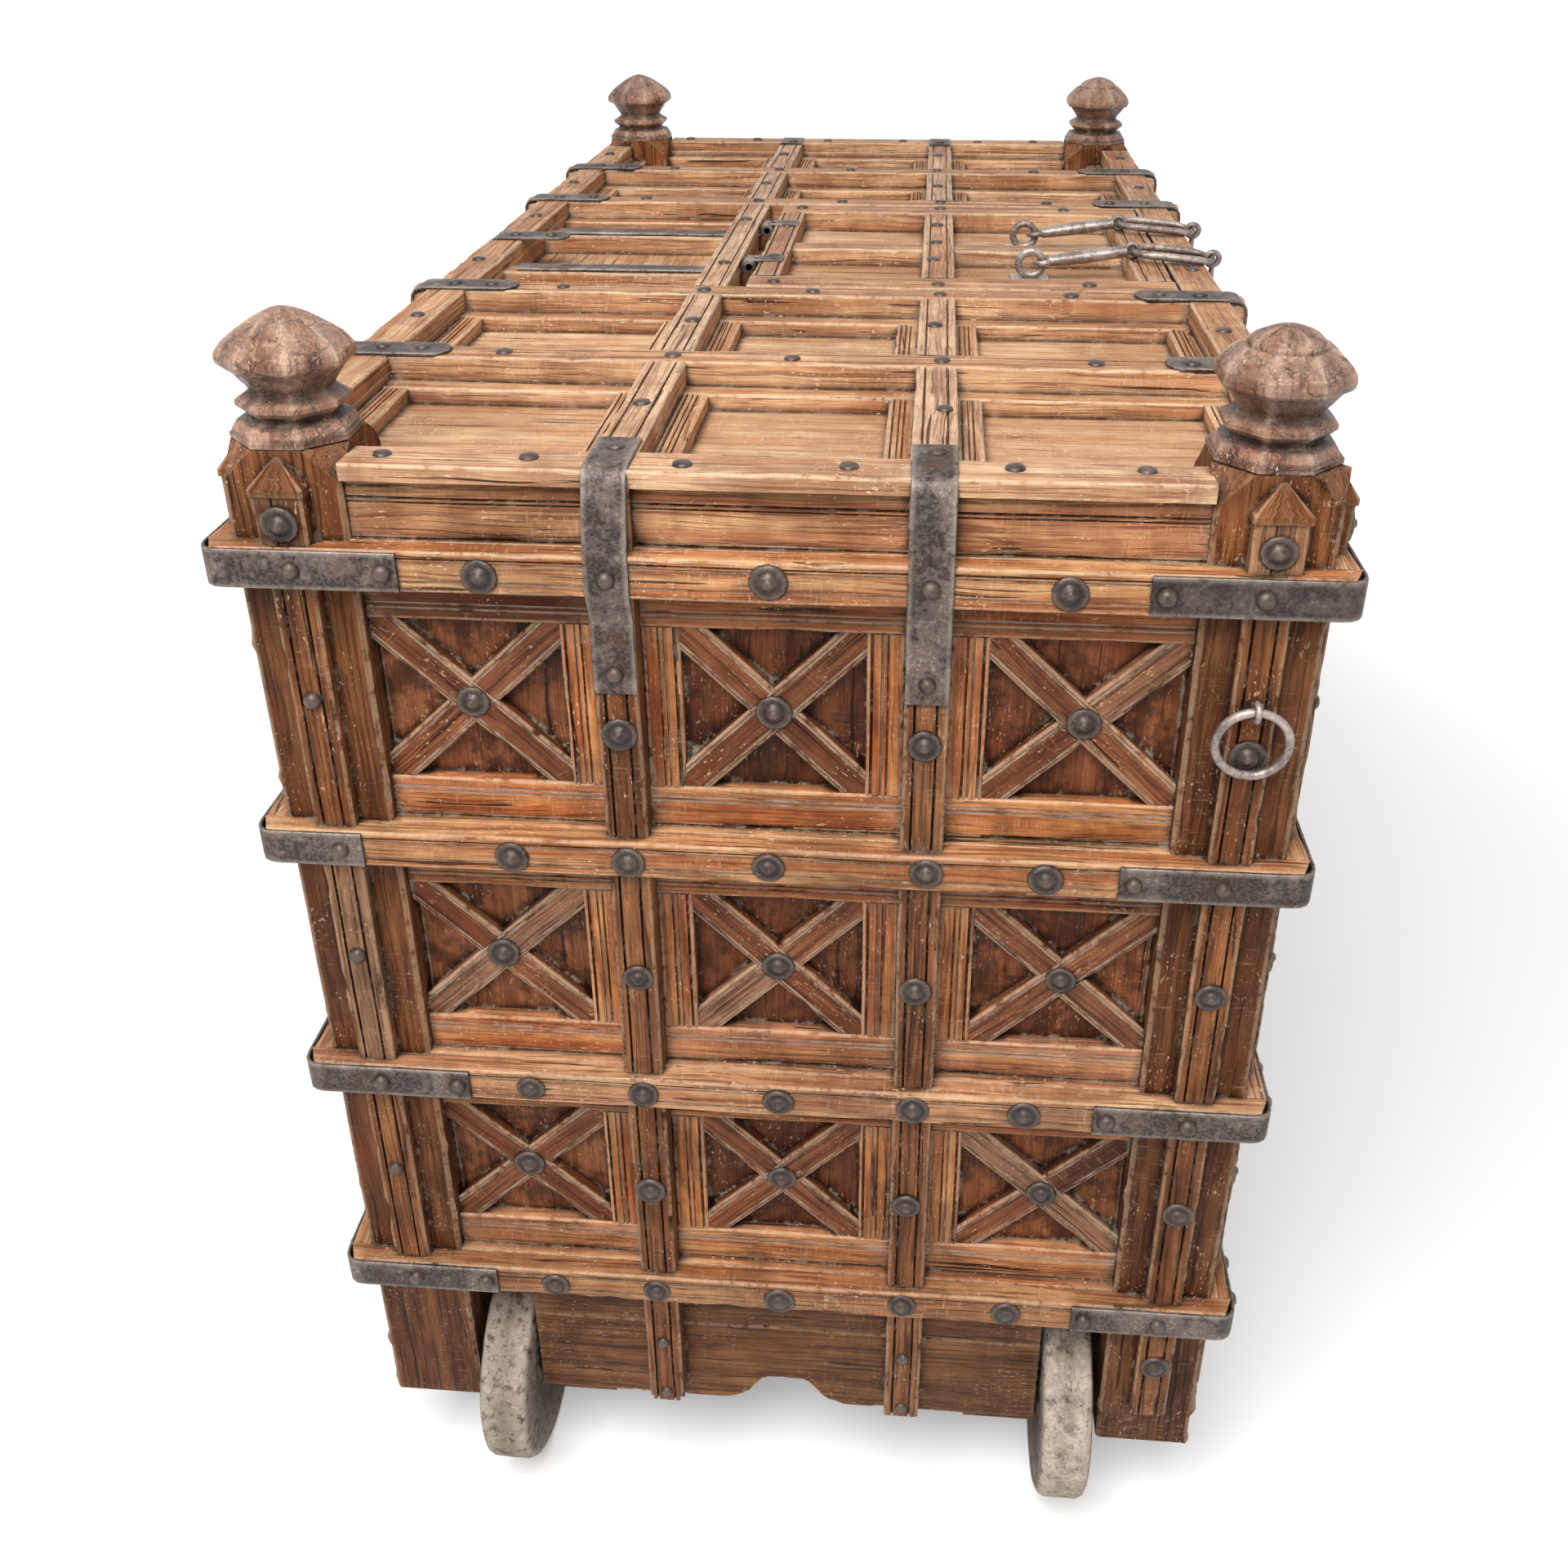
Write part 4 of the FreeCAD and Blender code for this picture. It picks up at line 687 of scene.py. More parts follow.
def crossStock(halfWide, halfHigh, lean, cutter=None):
    # one diagonal bar trimmed to the corners of its field, and to the bar that it meets
    reach = math.hypot(halfWide, halfHigh) + wallLook["crossSpare"]
    stock = barStock(2 * reach, wallLook["crossWide"], wallLook["crossFront"] - wallLook["boardFront"],
                     lines=barLines["cross"], pitch=0.02, nick=0.006, spread=0.7)
    slope = lean * math.atan2(halfHigh, halfWide)
    bmesh.ops.translate(stock, verts=stock.verts, vec=(-reach, 0, 0))
    bmesh.ops.rotate(stock, verts=stock.verts, cent=(0, 0, 0), matrix=Matrix.Rotation(slope, 3, "Z"))
    planes = [((halfWide, 0, 0), (1, 0, 0)), ((-halfWide, 0, 0), (-1, 0, 0)), ((0, halfHigh, 0), (0, 1, 0)),
              ((0, -halfHigh, 0), (0, -1, 0))]
    if cutter:
        normal = Vector((-math.sin(-slope), math.cos(-slope), 0)) * cutter
        planes.append((normal * wallLook["crossWide"] / 2, -normal))
    for spot, normal in planes:
        bmesh.ops.bisect_plane(stock, geom=stock.verts[:] + stock.edges[:] + stock.faces[:], dist=merge,
                               plane_co=spot, plane_no=normal, clear_outer=True, clear_inner=False)
        closeEnds(stock)
    return stock


def fields(side):
    # limits of each bay, and of its opening: beside a post there is no stile
    spans = [about(step * battenPitch, wallLook["battenWide"]) for step in battenSteps[side]]
    lefts = [-wallHalf[side]] + [right for left, right in spans]
    rights = [left for left, right in spans] + [wallHalf[side]]
    stile = wallLook["stile"]
    return [(left, right, left + stile * (left != lefts[0]), right - stile * (right != rights[-1]))
            for left, right in zip(lefts, rights)]


def panels(side, frames, crosses):
    base = walls[side]
    depth = (wallLook["boardFront"], wallLook["frameFront"])
    for row, (low, high) in enumerate(rows):
        field = (low + wallLook["frameBar"], high - wallLook["frameBar"])
        for column, (left, right, *opening) in enumerate(fields(side)):
            # lower frame bars get a lighter tone, which is painted light from above; upper bars get a darker
            # tone, which is painted shadow under the belts
            level(frames, base, (left, right), (low, field[0]), depth, lines=barLines["frame"], nick=0.006,
                  lean=wallLook["lowBarPaintedLight"])
            level(frames, base, (left, right), (field[1], high), depth, lines=mirrored(barLines["frame"]),
                  nick=0.006, lean=wallLook["highBarPaintedShade"])
            if opening[0] > left:
                upright(frames, base, (left, opening[0]), field, depth, lines=mirrored(barLines["stile"]),
                        nick=0.007)
            if opening[1] < right:
                upright(frames, base, (opening[1], right), field, depth, lines=barLines["stile"], nick=0.007)
            middle = Matrix.Translation((sum(opening) / 2, sum(field) / 2, wallLook["boardFront"]))
            halfWide, halfHigh = (opening[1] - opening[0]) / 2, (field[1] - field[0]) / 2
            lean = -1 if (row + column) % 2 == 0 else 1
            for slope, cutter in ((lean, None), (-lean, 1), (-lean, -1)):
                lay(crosses, crossStock(halfWide, halfHigh, slope, cutter), base @ middle)


def battens(side, heap):
    base, wide, proud = walls[side], wallLook["battenWide"], wallLook["battenProud"]
    back = wallLook["boardFront"] if side == "back" else wallLook["frameFront"]
    stock = {"lines": barLines["batten"], "pitch": 0.012, "nick": 0.011, "wobble": 0.0007}
    for step in battenSteps[side]:
        span = about(step * battenPitch, wide)
        for row in rows:
            upright(heap, base, span, row, (back, proud), **stock)
        upright(heap, base, span, (skirtFoot + wallLook["battenLift"], beltFirst),
                (wallLook["frameFront"], proud), **stock)
        upright(heap, base, span, (beltTop, crownFoot), wallLook["friezeStrip"], **stock)
    for sign in signs:
        span = about(sign * (wallHalf[side] + postSize / 2), wide)
        legs = [(legFoot + wallLook["legLift"], beltFirst)] if side in sideWalls or sign > 0 else []
        for row in rows + legs:
            upright(heap, base, span, row, (0, proud), **stock)


def boards(side):
    heap = newStock()
    for span in zip(seams(side), seams(side)[1:]):
        upright(heap, walls[side], span, (beltFirst, barFoot - wallLook["boardDrop"]),
                (wallLook["boardBack"], wallLook["boardFront"]), pitch=0.04, wobble=0.001, spread=0.8)
    settle(heap, f"wall_boards_{side}", "panel_wood", finish="panel_wood" if side == "back" else "field_wood")


for word, pair in (("ends", endWalls), ("sides", sideWalls)):
    frames, crosses, strips = newStock(), newStock(), newStock()
    for side in pair:
        if side != "back":
            panels(side, frames, crosses)
        battens(side, strips)
        boards(side)
    settle(frames, f"panel_frames_{word}", "belt_wood", finish="frame_wood")
    settle(crosses, f"crossed_bars_{word}", "panel_wood")
    settle(strips, f"battens_{word}", "post_wood")
print("walls made")

# Frieze, skirts and floor
# the frieze's tone is lifted: painted light against the shade under the edge bars
friezeLook = {"depth": (-0.026, -0.006), "lean": 0.9,
              "lines": [(0.0095, 0.0012, 0.0022, 0), (0.0056, 0.0009, 0.0016, 0)]}
heap = newStock()
for side, half in wallHalf.items():
    level(heap, walls[side], (-half, half), (beltTop, crownFoot), friezeLook["depth"],
          lines=friezeLook["lines"], pitch=0.025, nick=0.005, lean=friezeLook["lean"])
settle(heap, "frieze_boards", "belt_wood")

# Spots of the scallop from its middle outwards: place and height
skirtLook = {"back": -0.036, "front": -0.012, "lift": 0.003, "seam": 0.62,
             "scallop": [(0.0175, 0.038), (0.0385, 0.0152), (0.070, 0)]}


def scallop(across):
    # height of the cut above the lower edge of a skirt
    spots = skirtLook["scallop"]
    place = abs(across)
    if place <= spots[0][0]:
        return spots[0][1]
    for (near, high), (far, low) in zip(spots, spots[1:]):
        if place <= far:
            share = (place - near) / (far - near)
            curve = share * share if low > 0 else 1 - (1 - share) ** 2
            return high + (low - high) * curve
    return 0.0


def skirt(side, half, heap):
    # an upper and a lower plank, the lower one scalloped
    low = skirtFoot + skirtLook["lift"]
    seam = low + (beltFirst - skirtFoot) * skirtLook["seam"]
    depth = (skirtLook["back"], skirtLook["front"])
    level(heap, walls[side], (-half, half), (seam, beltFirst), depth, nick=0.006)
    stock = barStock(2 * half, seam - low, depth[1] - depth[0], pitch=0.0075, nick=0.005, wobble=0.0008)
    grain = layer(stock, "grainCo")
    high = (seam - low) / 2
    for vert in stock.verts:
        lift = scallop(vert.co.x - half) * (high - vert.co.y) / (2 * high)
        vert.co.y += lift
        vert[grain] += Vector((0, lift, 0))
    lay(heap, stock, walls[side] @ Matrix.Translation((-half, (seam + low) / 2, depth[0])))


for name, pair, half in (("end_skirts", endWalls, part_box("end_skirts")[1].y),
                         ("side_skirts", sideWalls, postInX)):
    heap = newStock()
    for side in pair:
        skirt(side, half, heap)
    settle(heap, name, "under_wood")

floorLook = {"boards": 4, "bearerPitch": 0.37, "bearerWide": 0.06, "pitch": 0.06}
floorLow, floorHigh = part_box("floor_boards")
boardWide = (floorHigh.y - floorLow.y) / floorLook["boards"]
heap = newStock()
for step in range(floorLook["boards"]):
    y = floorLow.y + step * boardWide
    reach = postInX if step in (0, floorLook["boards"] - 1) else floorHigh.x
    alongX(heap, (-reach, reach), (y, y + boardWide), (floorLow.z, floorHigh.z), pitch=floorLook["pitch"],
           spread=0.7)
settle(heap, "floor_boards", "under_wood")
heap = newStock()
sillLow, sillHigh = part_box("floor_frame")
sillZ = (sillLow.z, sillHigh.z)
for sign in signs:
    alongX(heap, (-postInX, postInX), onSide(sign, postInY, sillHigh.y), sillZ, pitch=floorLook["pitch"])
    alongY(heap, onSide(sign, postInX, sillHigh.x), (-postInY, postInY), sillZ, pitch=floorLook["pitch"])
for step in (-1, 0, 1):
    alongY(heap, about(step * floorLook["bearerPitch"], floorLook["bearerWide"]), (-postInY, postInY), sillZ,
           pitch=floorLook["pitch"])
settle(heap, "floor_frame", "under_wood")
print("frieze, skirts and floor made")

# Top: boards, edge bars, lapped bars and coffer mouldings
topLook = {"barWide": 0.038, "edgeWide": 0.044, "boardThick": 0.018, "boardInset": 0.026, "hatchLap": 0.015,
           "mouldingWide": 0.024, "mouldingHigh": 0.016, "longLean": 1.4,
           "barEnd": 0.017, "barEndHigh": 0.036, "barEndWide": 0.0342,
           "lines": [(-0.0105, 0.001, 0.002, 1), (0.0105, 0.001, 0.002, 1)],
           "mouldingLines": [(-0.003, 0.0009, 0.0018, 1), (0.0015, 0.0008, 0.0014, 0.7),
                             (0.007, 0.0009, 0.0018, 1)]}
edgeOutX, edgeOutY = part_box("end_edge_bars")[1].x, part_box("side_edge_bars")[1].y
edgeInX, edgeInY = edgeOutX - topLook["edgeWide"], edgeOutY - topLook["edgeWide"]
boardX, boardY = wallX - topLook["boardInset"], wallY - topLook["boardInset"]
boardZ = (barFoot - topLook["boardThick"], barFoot)
barZ, padZ, crownZ = (barFoot, topZ), (barFoot, crownFoot), (crownFoot, topZ)
wideBar = topLook["barWide"] / 2
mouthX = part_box("top_boards_middle")[1].x
hatchLow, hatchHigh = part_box("hatch_frame")
for name, sign in (("right", 1), ("left", -1)):
    heap = newStock()
    for low, high, reach in ((mouthX, 2 * battenPitch, boardY), (2 * battenPitch, postInX, boardY),
                             (postInX, boardX, postInY)):
        alongY(heap, onSide(sign, low, high), (-reach, reach), boardZ, pitch=0.05, spread=0.5)
    settle(heap, f"top_boards_{name}", "top_wood", finish="board_wood")
heap = newStock()
for y in ((hatchHigh.y - topLook["hatchLap"], boardY), (-boardY, hatchLow.y + topLook["hatchLap"])):
    alongX(heap, (-mouthX, mouthX), y, boardZ, pitch=0.05, spread=0.7)
settle(heap, "top_boards_middle", "top_wood", finish="board_wood")

edgeStock = {"pitch": 0.02, "nick": 0.008}
heap = newStock()
for sign in signs:
    alongX(heap, (-postInX, postInX), onSide(sign, edgeInY, boardY), padZ, pitch=0.08)
    alongX(heap, (-postInX, postInX), onSide(sign, edgeInY, edgeOutY), crownZ, **edgeStock)
settle(heap, "side_edge_bars", "top_wood")
heap = newStock()
for sign in signs:
    alongY(heap, onSide(sign, edgeInX, boardX), (-postInY, postInY), padZ, pitch=0.08)
    alongY(heap, onSide(sign, edgeInX, edgeOutX), (-postInY, postInY), crownZ, **edgeStock)
settle(heap, "end_edge_bars", "top_wood")

crossSteps = (-2, -1, 1, 2)
topStock = {"pitch": 0.02, "nick": 0.007, "lines": topLook["lines"]}
barSpans = {"front": about(-battenPitch / 2, topLook["barWide"]),
            "back": about(battenPitch / 2, topLook["barWide"])}
heap = newStock()
for step in crossSteps:
    alongY(heap, about(step * battenPitch, topLook["barWide"]), (-edgeInY, edgeInY), barZ, **topStock)
    for sign in signs:  # ends that stand out under the edge clips
        alongY(heap, about(step * battenPitch, topLook["barEndWide"]),
               onSide(sign, edgeOutY, edgeOutY + topLook["barEnd"]), (topZ - topLook["barEndHigh"], topZ),
               edge=0.006)
settle(heap, "cross_bars", "top_wood")

hingeLook = {"wide": 0.026, "thick": 0.004, "knuckle": 0.009, "knuckleWide": 0.010, "gap": 0.0003,
             "leaf": 0.002, "leafReach": 0.030, "leafLap": 0.010, "strapLap": 0.002, "spread": 0.103,
             "bearer": 0.034, "room": 0.0045}
hingeStart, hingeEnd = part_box("hinge_straps")
hingeTop = hingeStart.z + hingeLook["room"]
heap = newStock()
crossEdges = [step * battenPitch + sign * wideBar for step in crossSteps for sign in signs]
stops = [-edgeInX] + crossEdges + [edgeInX]
for low, high in zip(stops[0::2], stops[1::2]):
    for name, span in barSpans.items():
        middle = low < 0 < high
        if middle and name == "front":
            continue
        alongX(heap, (low, high), span, (hingeTop, topZ) if middle else barZ, lean=topLook["longLean"],
               **topStock)
        if middle:  # packers on both sides of the hinge bearers
            bearers = [about(sign * hingeLook["spread"], hingeLook["bearer"]) for sign in signs]
            rests = [low, *bearers[0], *bearers[1], high]
            for start, stop in zip(rests[0::2], rests[1::2]):
                alongX(heap, (start, stop), span, (barFoot, hingeTop + hingeLook["strapLap"]), pitch=0.05)
settle(heap, "long_bars", "top_wood")

heap = newStock()
mouldingZ = (barFoot, barFoot + topLook["mouldingHigh"])
plain = {"pitch": 0.025, "nick": 0.005}
moulding = {**plain, "lines": topLook["mouldingLines"]}
baysX = [(2 * battenPitch + wideBar, edgeInX), (battenPitch + wideBar, 2 * battenPitch - wideBar)]
baysX += [(-high, -low) for low, high in baysX]
baysY = [(-edgeInY, barSpans["front"][0]), (barSpans["front"][1], barSpans["back"][0]),
         (barSpans["back"][1], edgeInY)]
strip = topLook["mouldingWide"]
for lowX, highX in baysX:
    for lowY, highY in baysY:
        for x in ((lowX, lowX + strip), (highX - strip, highX)):
            alongY(heap, x, (lowY, highY), mouldingZ, **plain)
        for y in ((lowY, lowY + strip), (highY - strip, highY)):
            alongX(heap, (lowX + strip, highX - strip), y, mouldingZ, **moulding)
hatchBay = battenPitch - wideBar
for sign in signs:
    alongY(heap, onSide(sign, hatchBay, hatchBay - strip), baysY[2], mouldingZ, **plain)
settle(heap, "coffer_mouldings", "top_wood")
print("top made")

# Peg blocks with small pyramid roofs, on the highest belt beside the finials
pegLook = {"wide": 0.046, "proud": 0.017, "eaves": 0.042, "roof": 0.028, "edge": 0.2, "over": 0.002,
           "tip": 0.002, "lines": [(0.004, 0.0008, 0.002, 1)], "stud": 0.0185}
pegSpots = [(side, sign * (wallHalf[side] + postSize / 2)) for side in walls for sign in signs]
heap = newStock()
for side, across in pegSpots:
    upright(heap, walls[side], about(across, pegLook["wide"] - 2 * pegLook["over"]),
            (beltTop, beltTop + pegLook["eaves"]), (0, pegLook["proud"] - pegLook["over"]), pitch=0.012,
            nick=0.006, lines=pegLook["lines"])
    stock = barStock(pegLook["roof"], pegLook["wide"], pegLook["proud"], pitch=0.0056, nick=0.002)
    for vert in stock.verts:
        share = max(0.0, vert.co.x / pegLook["roof"] - pegLook["edge"]) / (1 - pegLook["edge"])
        vert.co.y *= 1 - share * (1 - 2 * pegLook["tip"] / pegLook["wide"])
        vert.co.z *= 1 - share * (1 - pegLook["tip"] / pegLook["proud"])
    lay(heap, stock, walls[side] @ Matrix.Translation((across, beltTop + pegLook["eaves"], 0)) @ upTurn)
settle(heap, "peg_blocks", "post_wood", smooth=30)

# Hatch with its frame, boards and middle rails
hatchLook = {"rail": 0.050, "back": 0.032, "front": 0.039, "middle": 0.038, "step": 0.006, "drop": 0.026,
             "boardThick": 0.013, "boards": 4}
railIn = hatchHigh.x - hatchLook["rail"]
backIn, frontIn = hatchHigh.y - hatchLook["back"], hatchLow.y + hatchLook["front"]
dropZ = topZ - hatchLook["drop"]
hatchZ, middleZ = (hatchLow.z, topZ), (dropZ, topZ - hatchLook["step"])
hatchStock = {"pitch": 0.02, "nick": 0.006, "lines": topLook["lines"]}
heap = newStock()
for sign in signs:
    alongY(heap, onSide(sign, railIn, hatchHigh.x), (hatchLow.y, hatchHigh.y), hatchZ, **hatchStock)
for y, z in (((backIn, hatchHigh.y), hatchZ), ((hatchLow.y, frontIn), hatchZ),
             (barSpans["front"], (dropZ, topZ))):
    alongX(heap, (-railIn, railIn), y, z, **hatchStock)
for y in ((barSpans["front"][1], backIn), (frontIn, barSpans["front"][0])):
    alongY(heap, about(0, hatchLook["middle"]), y, middleZ, **hatchStock)
settle(heap, "hatch_frame", "top_wood", "hatch")
heap = newStock()
hatchBoard = 2 * railIn / hatchLook["boards"]
for step in range(hatchLook["boards"]):
    x = -railIn + step * hatchBoard
    alongY(heap, (x, x + hatchBoard), (frontIn, backIn), (dropZ - hatchLook["boardThick"], dropZ), pitch=0.05,
           spread=0.7)
settle(heap, "hatch_boards", "top_wood", "hatch", finish="board_wood")
bearerLow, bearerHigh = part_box("hinge_bearers")
heap = newStock()
for sign in signs:
    alongY(heap, about(sign * hingeLook["spread"], hingeLook["bearer"]), (bearerLow.y, bearerHigh.y),
           (bearerLow.z, bearerHigh.z), pitch=0.03)
settle(heap, "hinge_bearers", "top_wood")
print("hatch made")


# Iron straps, bent along their runs

def bentRun(corners, across, radius, turns=4, spacing=0.02):
    # samples along a run with rounded corners, and the outward side of every sample
    points = [corners[0]]
    for before, corner, after in zip(corners, corners[1:], corners[2:]):
        back, ahead = (before - corner).normalized(), (after - corner).normalized()
        trim = min(radius, (before - corner).length / 2.2, (after - corner).length / 2.2)
        for step in range(turns + 1):
            share = step / turns
            points.append(corner + back * trim * (1 - share) ** 2 + ahead * trim * share ** 2)
    points.append(corners[-1])
    spaced = [points[0]]
    for near, far in zip(points, points[1:]):
        pieces = max(1, round((far - near).length / spacing))
        spaced += [near.lerp(far, (step + 1) / pieces) for step in range(pieces)]
    samples = []
    for step, point in enumerate(spaced):
        ahead = spaced[min(step + 1, len(spaced) - 1)] - spaced[max(step - 1, 0)]
        samples.append((point, ahead.normalized().cross(across)))
    return samples


strapLook = {"margin": 0.001, "endArm": 0.162, "shortArm": 0.095, "sideArm": 0.100, "wide": 0.039,
             "endWide": 0.036, "reach": 0.070, "tail": 0.0895, "bend": 0.016, "clipReach": 0.100,
             "clipDrop": 0.062, "clipTip": 0.012, "thick": 0.003, "edge": 0.0008, "fade": 0.004,
             "rough": 0.0003, "tipShare": 0.65, "radius": {"corner": 0.016, "end": 0.012, "clip": 0.014}}


def strap(heap, corners, across, width, kind, tip=0.0):
    # a tip rounds off the first end over that length
    across = Vector(across)
    corners = [Vector(corner) for corner in corners]
    if tip:
        corners.insert(1, corners[0] + (corners[1] - corners[0]).normalized() * tip)
    outline = section(width, strapLook["thick"], edge=strapLook["edge"], fade=strapLook["fade"])
    stock = bentStock(outline, bentRun(corners, across, strapLook["radius"][kind]), across)
    grain = layer(stock, "grainCo")
    start = min(vert[grain].x for vert in stock.verts)
    for vert in stock.verts:
        spot = vert[grain]
        run = spot.x - start
        if run < tip:
            spare = strapLook["tipShare"] * (1 - math.sqrt(run / tip))
            vert.co -= across * (vert.co - corners[0]).dot(across) * spare
        dent = Vector((noise.noise(spot * 60), noise.noise(spot * 60 + Vector((5, 0, 0))), 0))
        vert.co += dent * strapLook["rough"]
    lay(heap, stock, roof)


shortRow, shortCorner = 2, (-1, 1)  # the one corner strap with a short arm
heap = newStock()
for row, foot in enumerate(levels):
    z = foot + beltHigh / 2
    for signX, signY in fourCorners:
        arm = strapLook["shortArm" if row == shortRow and (signX, signY) == shortCorner else "endArm"]
        corners = [(signX * beltX, signY * (beltY - arm), z), (signX * beltX, signY * beltY, z),
                   (signX * (beltX - strapLook["sideArm"]), signY * beltY, z)]
        strap(heap, corners, (0, 0, signX * signY), beltHigh - 2 * strapLook["margin"], "corner")
settle(heap, "corner_straps", "strap_iron")

heap = newStock()
beltFoot, battenX = beltTop - beltHigh, wallX + wallLook["battenProud"]
endRun = [(edgeOutX - strapLook["reach"], topZ), (edgeOutX, topZ), (beltX, beltTop), (beltX, beltFoot),
          (battenX, beltFoot - strapLook["bend"]), (battenX, beltFoot - strapLook["tail"])]
for signX, signY in fourCorners:
    corners = [(signX * x, signY * battenPitch / 2, z) for x, z in endRun]
    strap(heap, corners, (0, signX, 0), strapLook["endWide"], "end")
clipSpots = [(step * battenPitch, sign) for step in crossSteps for sign in signs] + [(0.0, 1)]
for x, sign in clipSpots:
    out = edgeOutY + (topLook["barEnd"] if x else 0.0)
    clipRun = [(edgeOutY - strapLook["clipReach"], topZ), (out, topZ), (out, topZ - strapLook["clipDrop"])]
    corners = [(x, sign * y, z) for y, z in clipRun]
    strap(heap, corners, (-sign, 0, 0), strapLook["wide"], "clip", strapLook["clipTip"])
settle(heap, "top_straps", "strap_iron")
print("straps made")

# Hinges of the hatch: long straps under the bar, and leaves on the hatch
_, hingeY, hingeZ = jointAt["hatch_hinge"]


def barrel(heap, x, width):
    radius, edge = hingeLook["knuckle"], 0.001
    stock = turnedStock([(0.0, 0, 0.2), (radius * 0.85, 0, 0.5), (radius, edge, 1), (radius, width - edge, 1),
                         (radius * 0.85, width, 0.5), (0.0, width, 0.2)], 16)
    lay(heap, stock, Matrix.Translation((x, hingeY, hingeZ)) @ Matrix.Rotation(math.pi / 2, 4, "Y"))


heap, leaves = newStock(), newStock()
strapZ = (hingeStart.z, hingeStart.z + hingeLook["thick"])
knuckleTop = hingeZ + hingeLook["knuckle"]
for sign in signs:
    x = sign * hingeLook["spread"]
    start = hingeY + hingeLook["knuckle"] + hingeLook["gap"]
    outer, inner = hingeLook["wide"] / 2, hingeLook["knuckleWide"] / 2
    alongY(heap, (x - outer, x + outer), (start, hingeEnd.y), strapZ, pitch=0.02)
    alongY(heap, (x - inner, x + inner), (hingeY, start + hingeLook["strapLap"]), strapZ)
    barrel(heap, x - inner, 2 * inner)
    alongY(leaves, (x - outer, x + outer), (hatchHigh.y - hingeLook["leafReach"], hatchHigh.y),
           (topZ, topZ + hingeLook["leaf"]), pitch=0.01)
    for low, high in ((-outer, -inner - hingeLook["gap"]), (inner + hingeLook["gap"], outer)):
        barrel(leaves, x + low, high - low)
        alongY(leaves, (x + low, x + high), (hatchHigh.y - hingeLook["leafLap"], hingeY),
               (knuckleTop - hingeLook["leaf"], knuckleTop), pitch=0.01)
settle(heap, "hinge_straps", "strap_iron")
settle(leaves, "hatch_hinge_leaves", "strap_iron", "hatch")


# Chain hasps and ring handles: round bar bent into eyes, loops and rings

linkLook = {"dent": 0.0004, "smooth": 60}
onEdge = Matrix.Rotation(math.pi / 2, 4, "Y")  # a bend in XY stood up in YZ


def circlePath(radius, count=20, centre=(0, 0, 0)):
    turns = [2 * math.pi * step / count for step in range(count)]
    return [Vector(centre) + Vector((radius * math.cos(turn), radius * math.sin(turn), 0)) for turn in turns]


def linkStock(path, wire, sides=10):
    # round bar along a closed path, with its outward side in the plane of the bend
    normal = Vector((0, 0, 1))
    outline = [(spot.x, spot.y, 0.3, 0) for spot in circlePath(wire, sides)]
    samples = []
    for step, point in enumerate(path):
        ahead = (path[(step + 1) % len(path)] - path[step - 1]).normalized()
        samples.append((point, ahead.cross(normal)))
    stock = bentStock(outline, samples + samples[:1], normal, closed=True)
    for vert in stock.verts:
        vert.co += vert.normal * linkLook["dent"] * noise.noise(vert.co * 90)
    return stock


def rodStock(radius, low, high, flat=1.0):
    # a forged bar along Z that swells a little at its middle
    profile = [(0.0, low, 0.2)]
    for step in range(9):
        share = step / 8
        profile.append((radius * (0.84 + 0.2 * math.sin(math.pi * share)), low + (high - low) * share, 0.4))
    stock = turnedStock(profile + [(0.0, high, 0.2)], 10)
    bmesh.ops.scale(stock, verts=stock.verts, vec=(flat, 1, 1))
    return stock


hasp = {"stapleRing": 0.0145, "stapleWire": 0.0045, "wire": 0.0035, "gap": 0.0004, "armEye": 0.009,
        "armRod": 0.0076, "armFlat": 1.25, "armLap": (0.002, 0.001), "swell": 0.0019, "pivotEye": 0.0075,
        "loopRing": 0.024, "endLength": 0.050, "plate": 0.046, "plateThick": 0.003, "plateTone": 2.0}
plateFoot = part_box("hasp_staples")[0].z


def pivotEye(heap, matrix):
    eyeWire = hasp["pivotEye"] - hasp["wire"] - hasp["gap"]
    lay(heap, linkStock(circlePath(hasp["pivotEye"]), eyeWire), matrix @ onEdge)


def haspStaple(heap, at):
    alongX(heap, about(at.x, hasp["plate"]), about(at.y, hasp["plate"]),
           (plateFoot, plateFoot + hasp["plateThick"]), pitch=0.012, edge=strapLook["edge"],
           lean=hasp["plateTone"])
    lay(heap, linkStock(circlePath(hasp["stapleRing"], 24), hasp["stapleWire"]),
        Matrix.Translation(at) @ onEdge)


def haspArm(end, at, run):
    heap = newStock()
    base = Matrix.Translation(at) @ Matrix.Rotation(math.atan2(run.z, -run.y), 4, Vector((-1, 0, 0)))
    apex = hasp["stapleRing"] - hasp["stapleWire"] - hasp["wire"] - hasp["gap"]
    lay(heap, linkStock(circlePath(hasp["armEye"], 20, (0, -apex - hasp["armEye"], 0)), hasp["wire"]), base)
    bar = rodStock(hasp["armRod"], apex + 2 * hasp["armEye"] - hasp["armLap"][0],
                   run.length - hasp["pivotEye"] + hasp["armLap"][1], hasp["armFlat"])
    lay(heap, bar, base @ Matrix.Rotation(math.pi / 2, 4, "X"))
    pivotEye(heap, base @ Matrix.Translation((0, -run.length, 0)))
    settle(heap, f"hasp_arm_{end}", "chain_iron", f"hasp_arm_{end}", linkLook["smooth"])


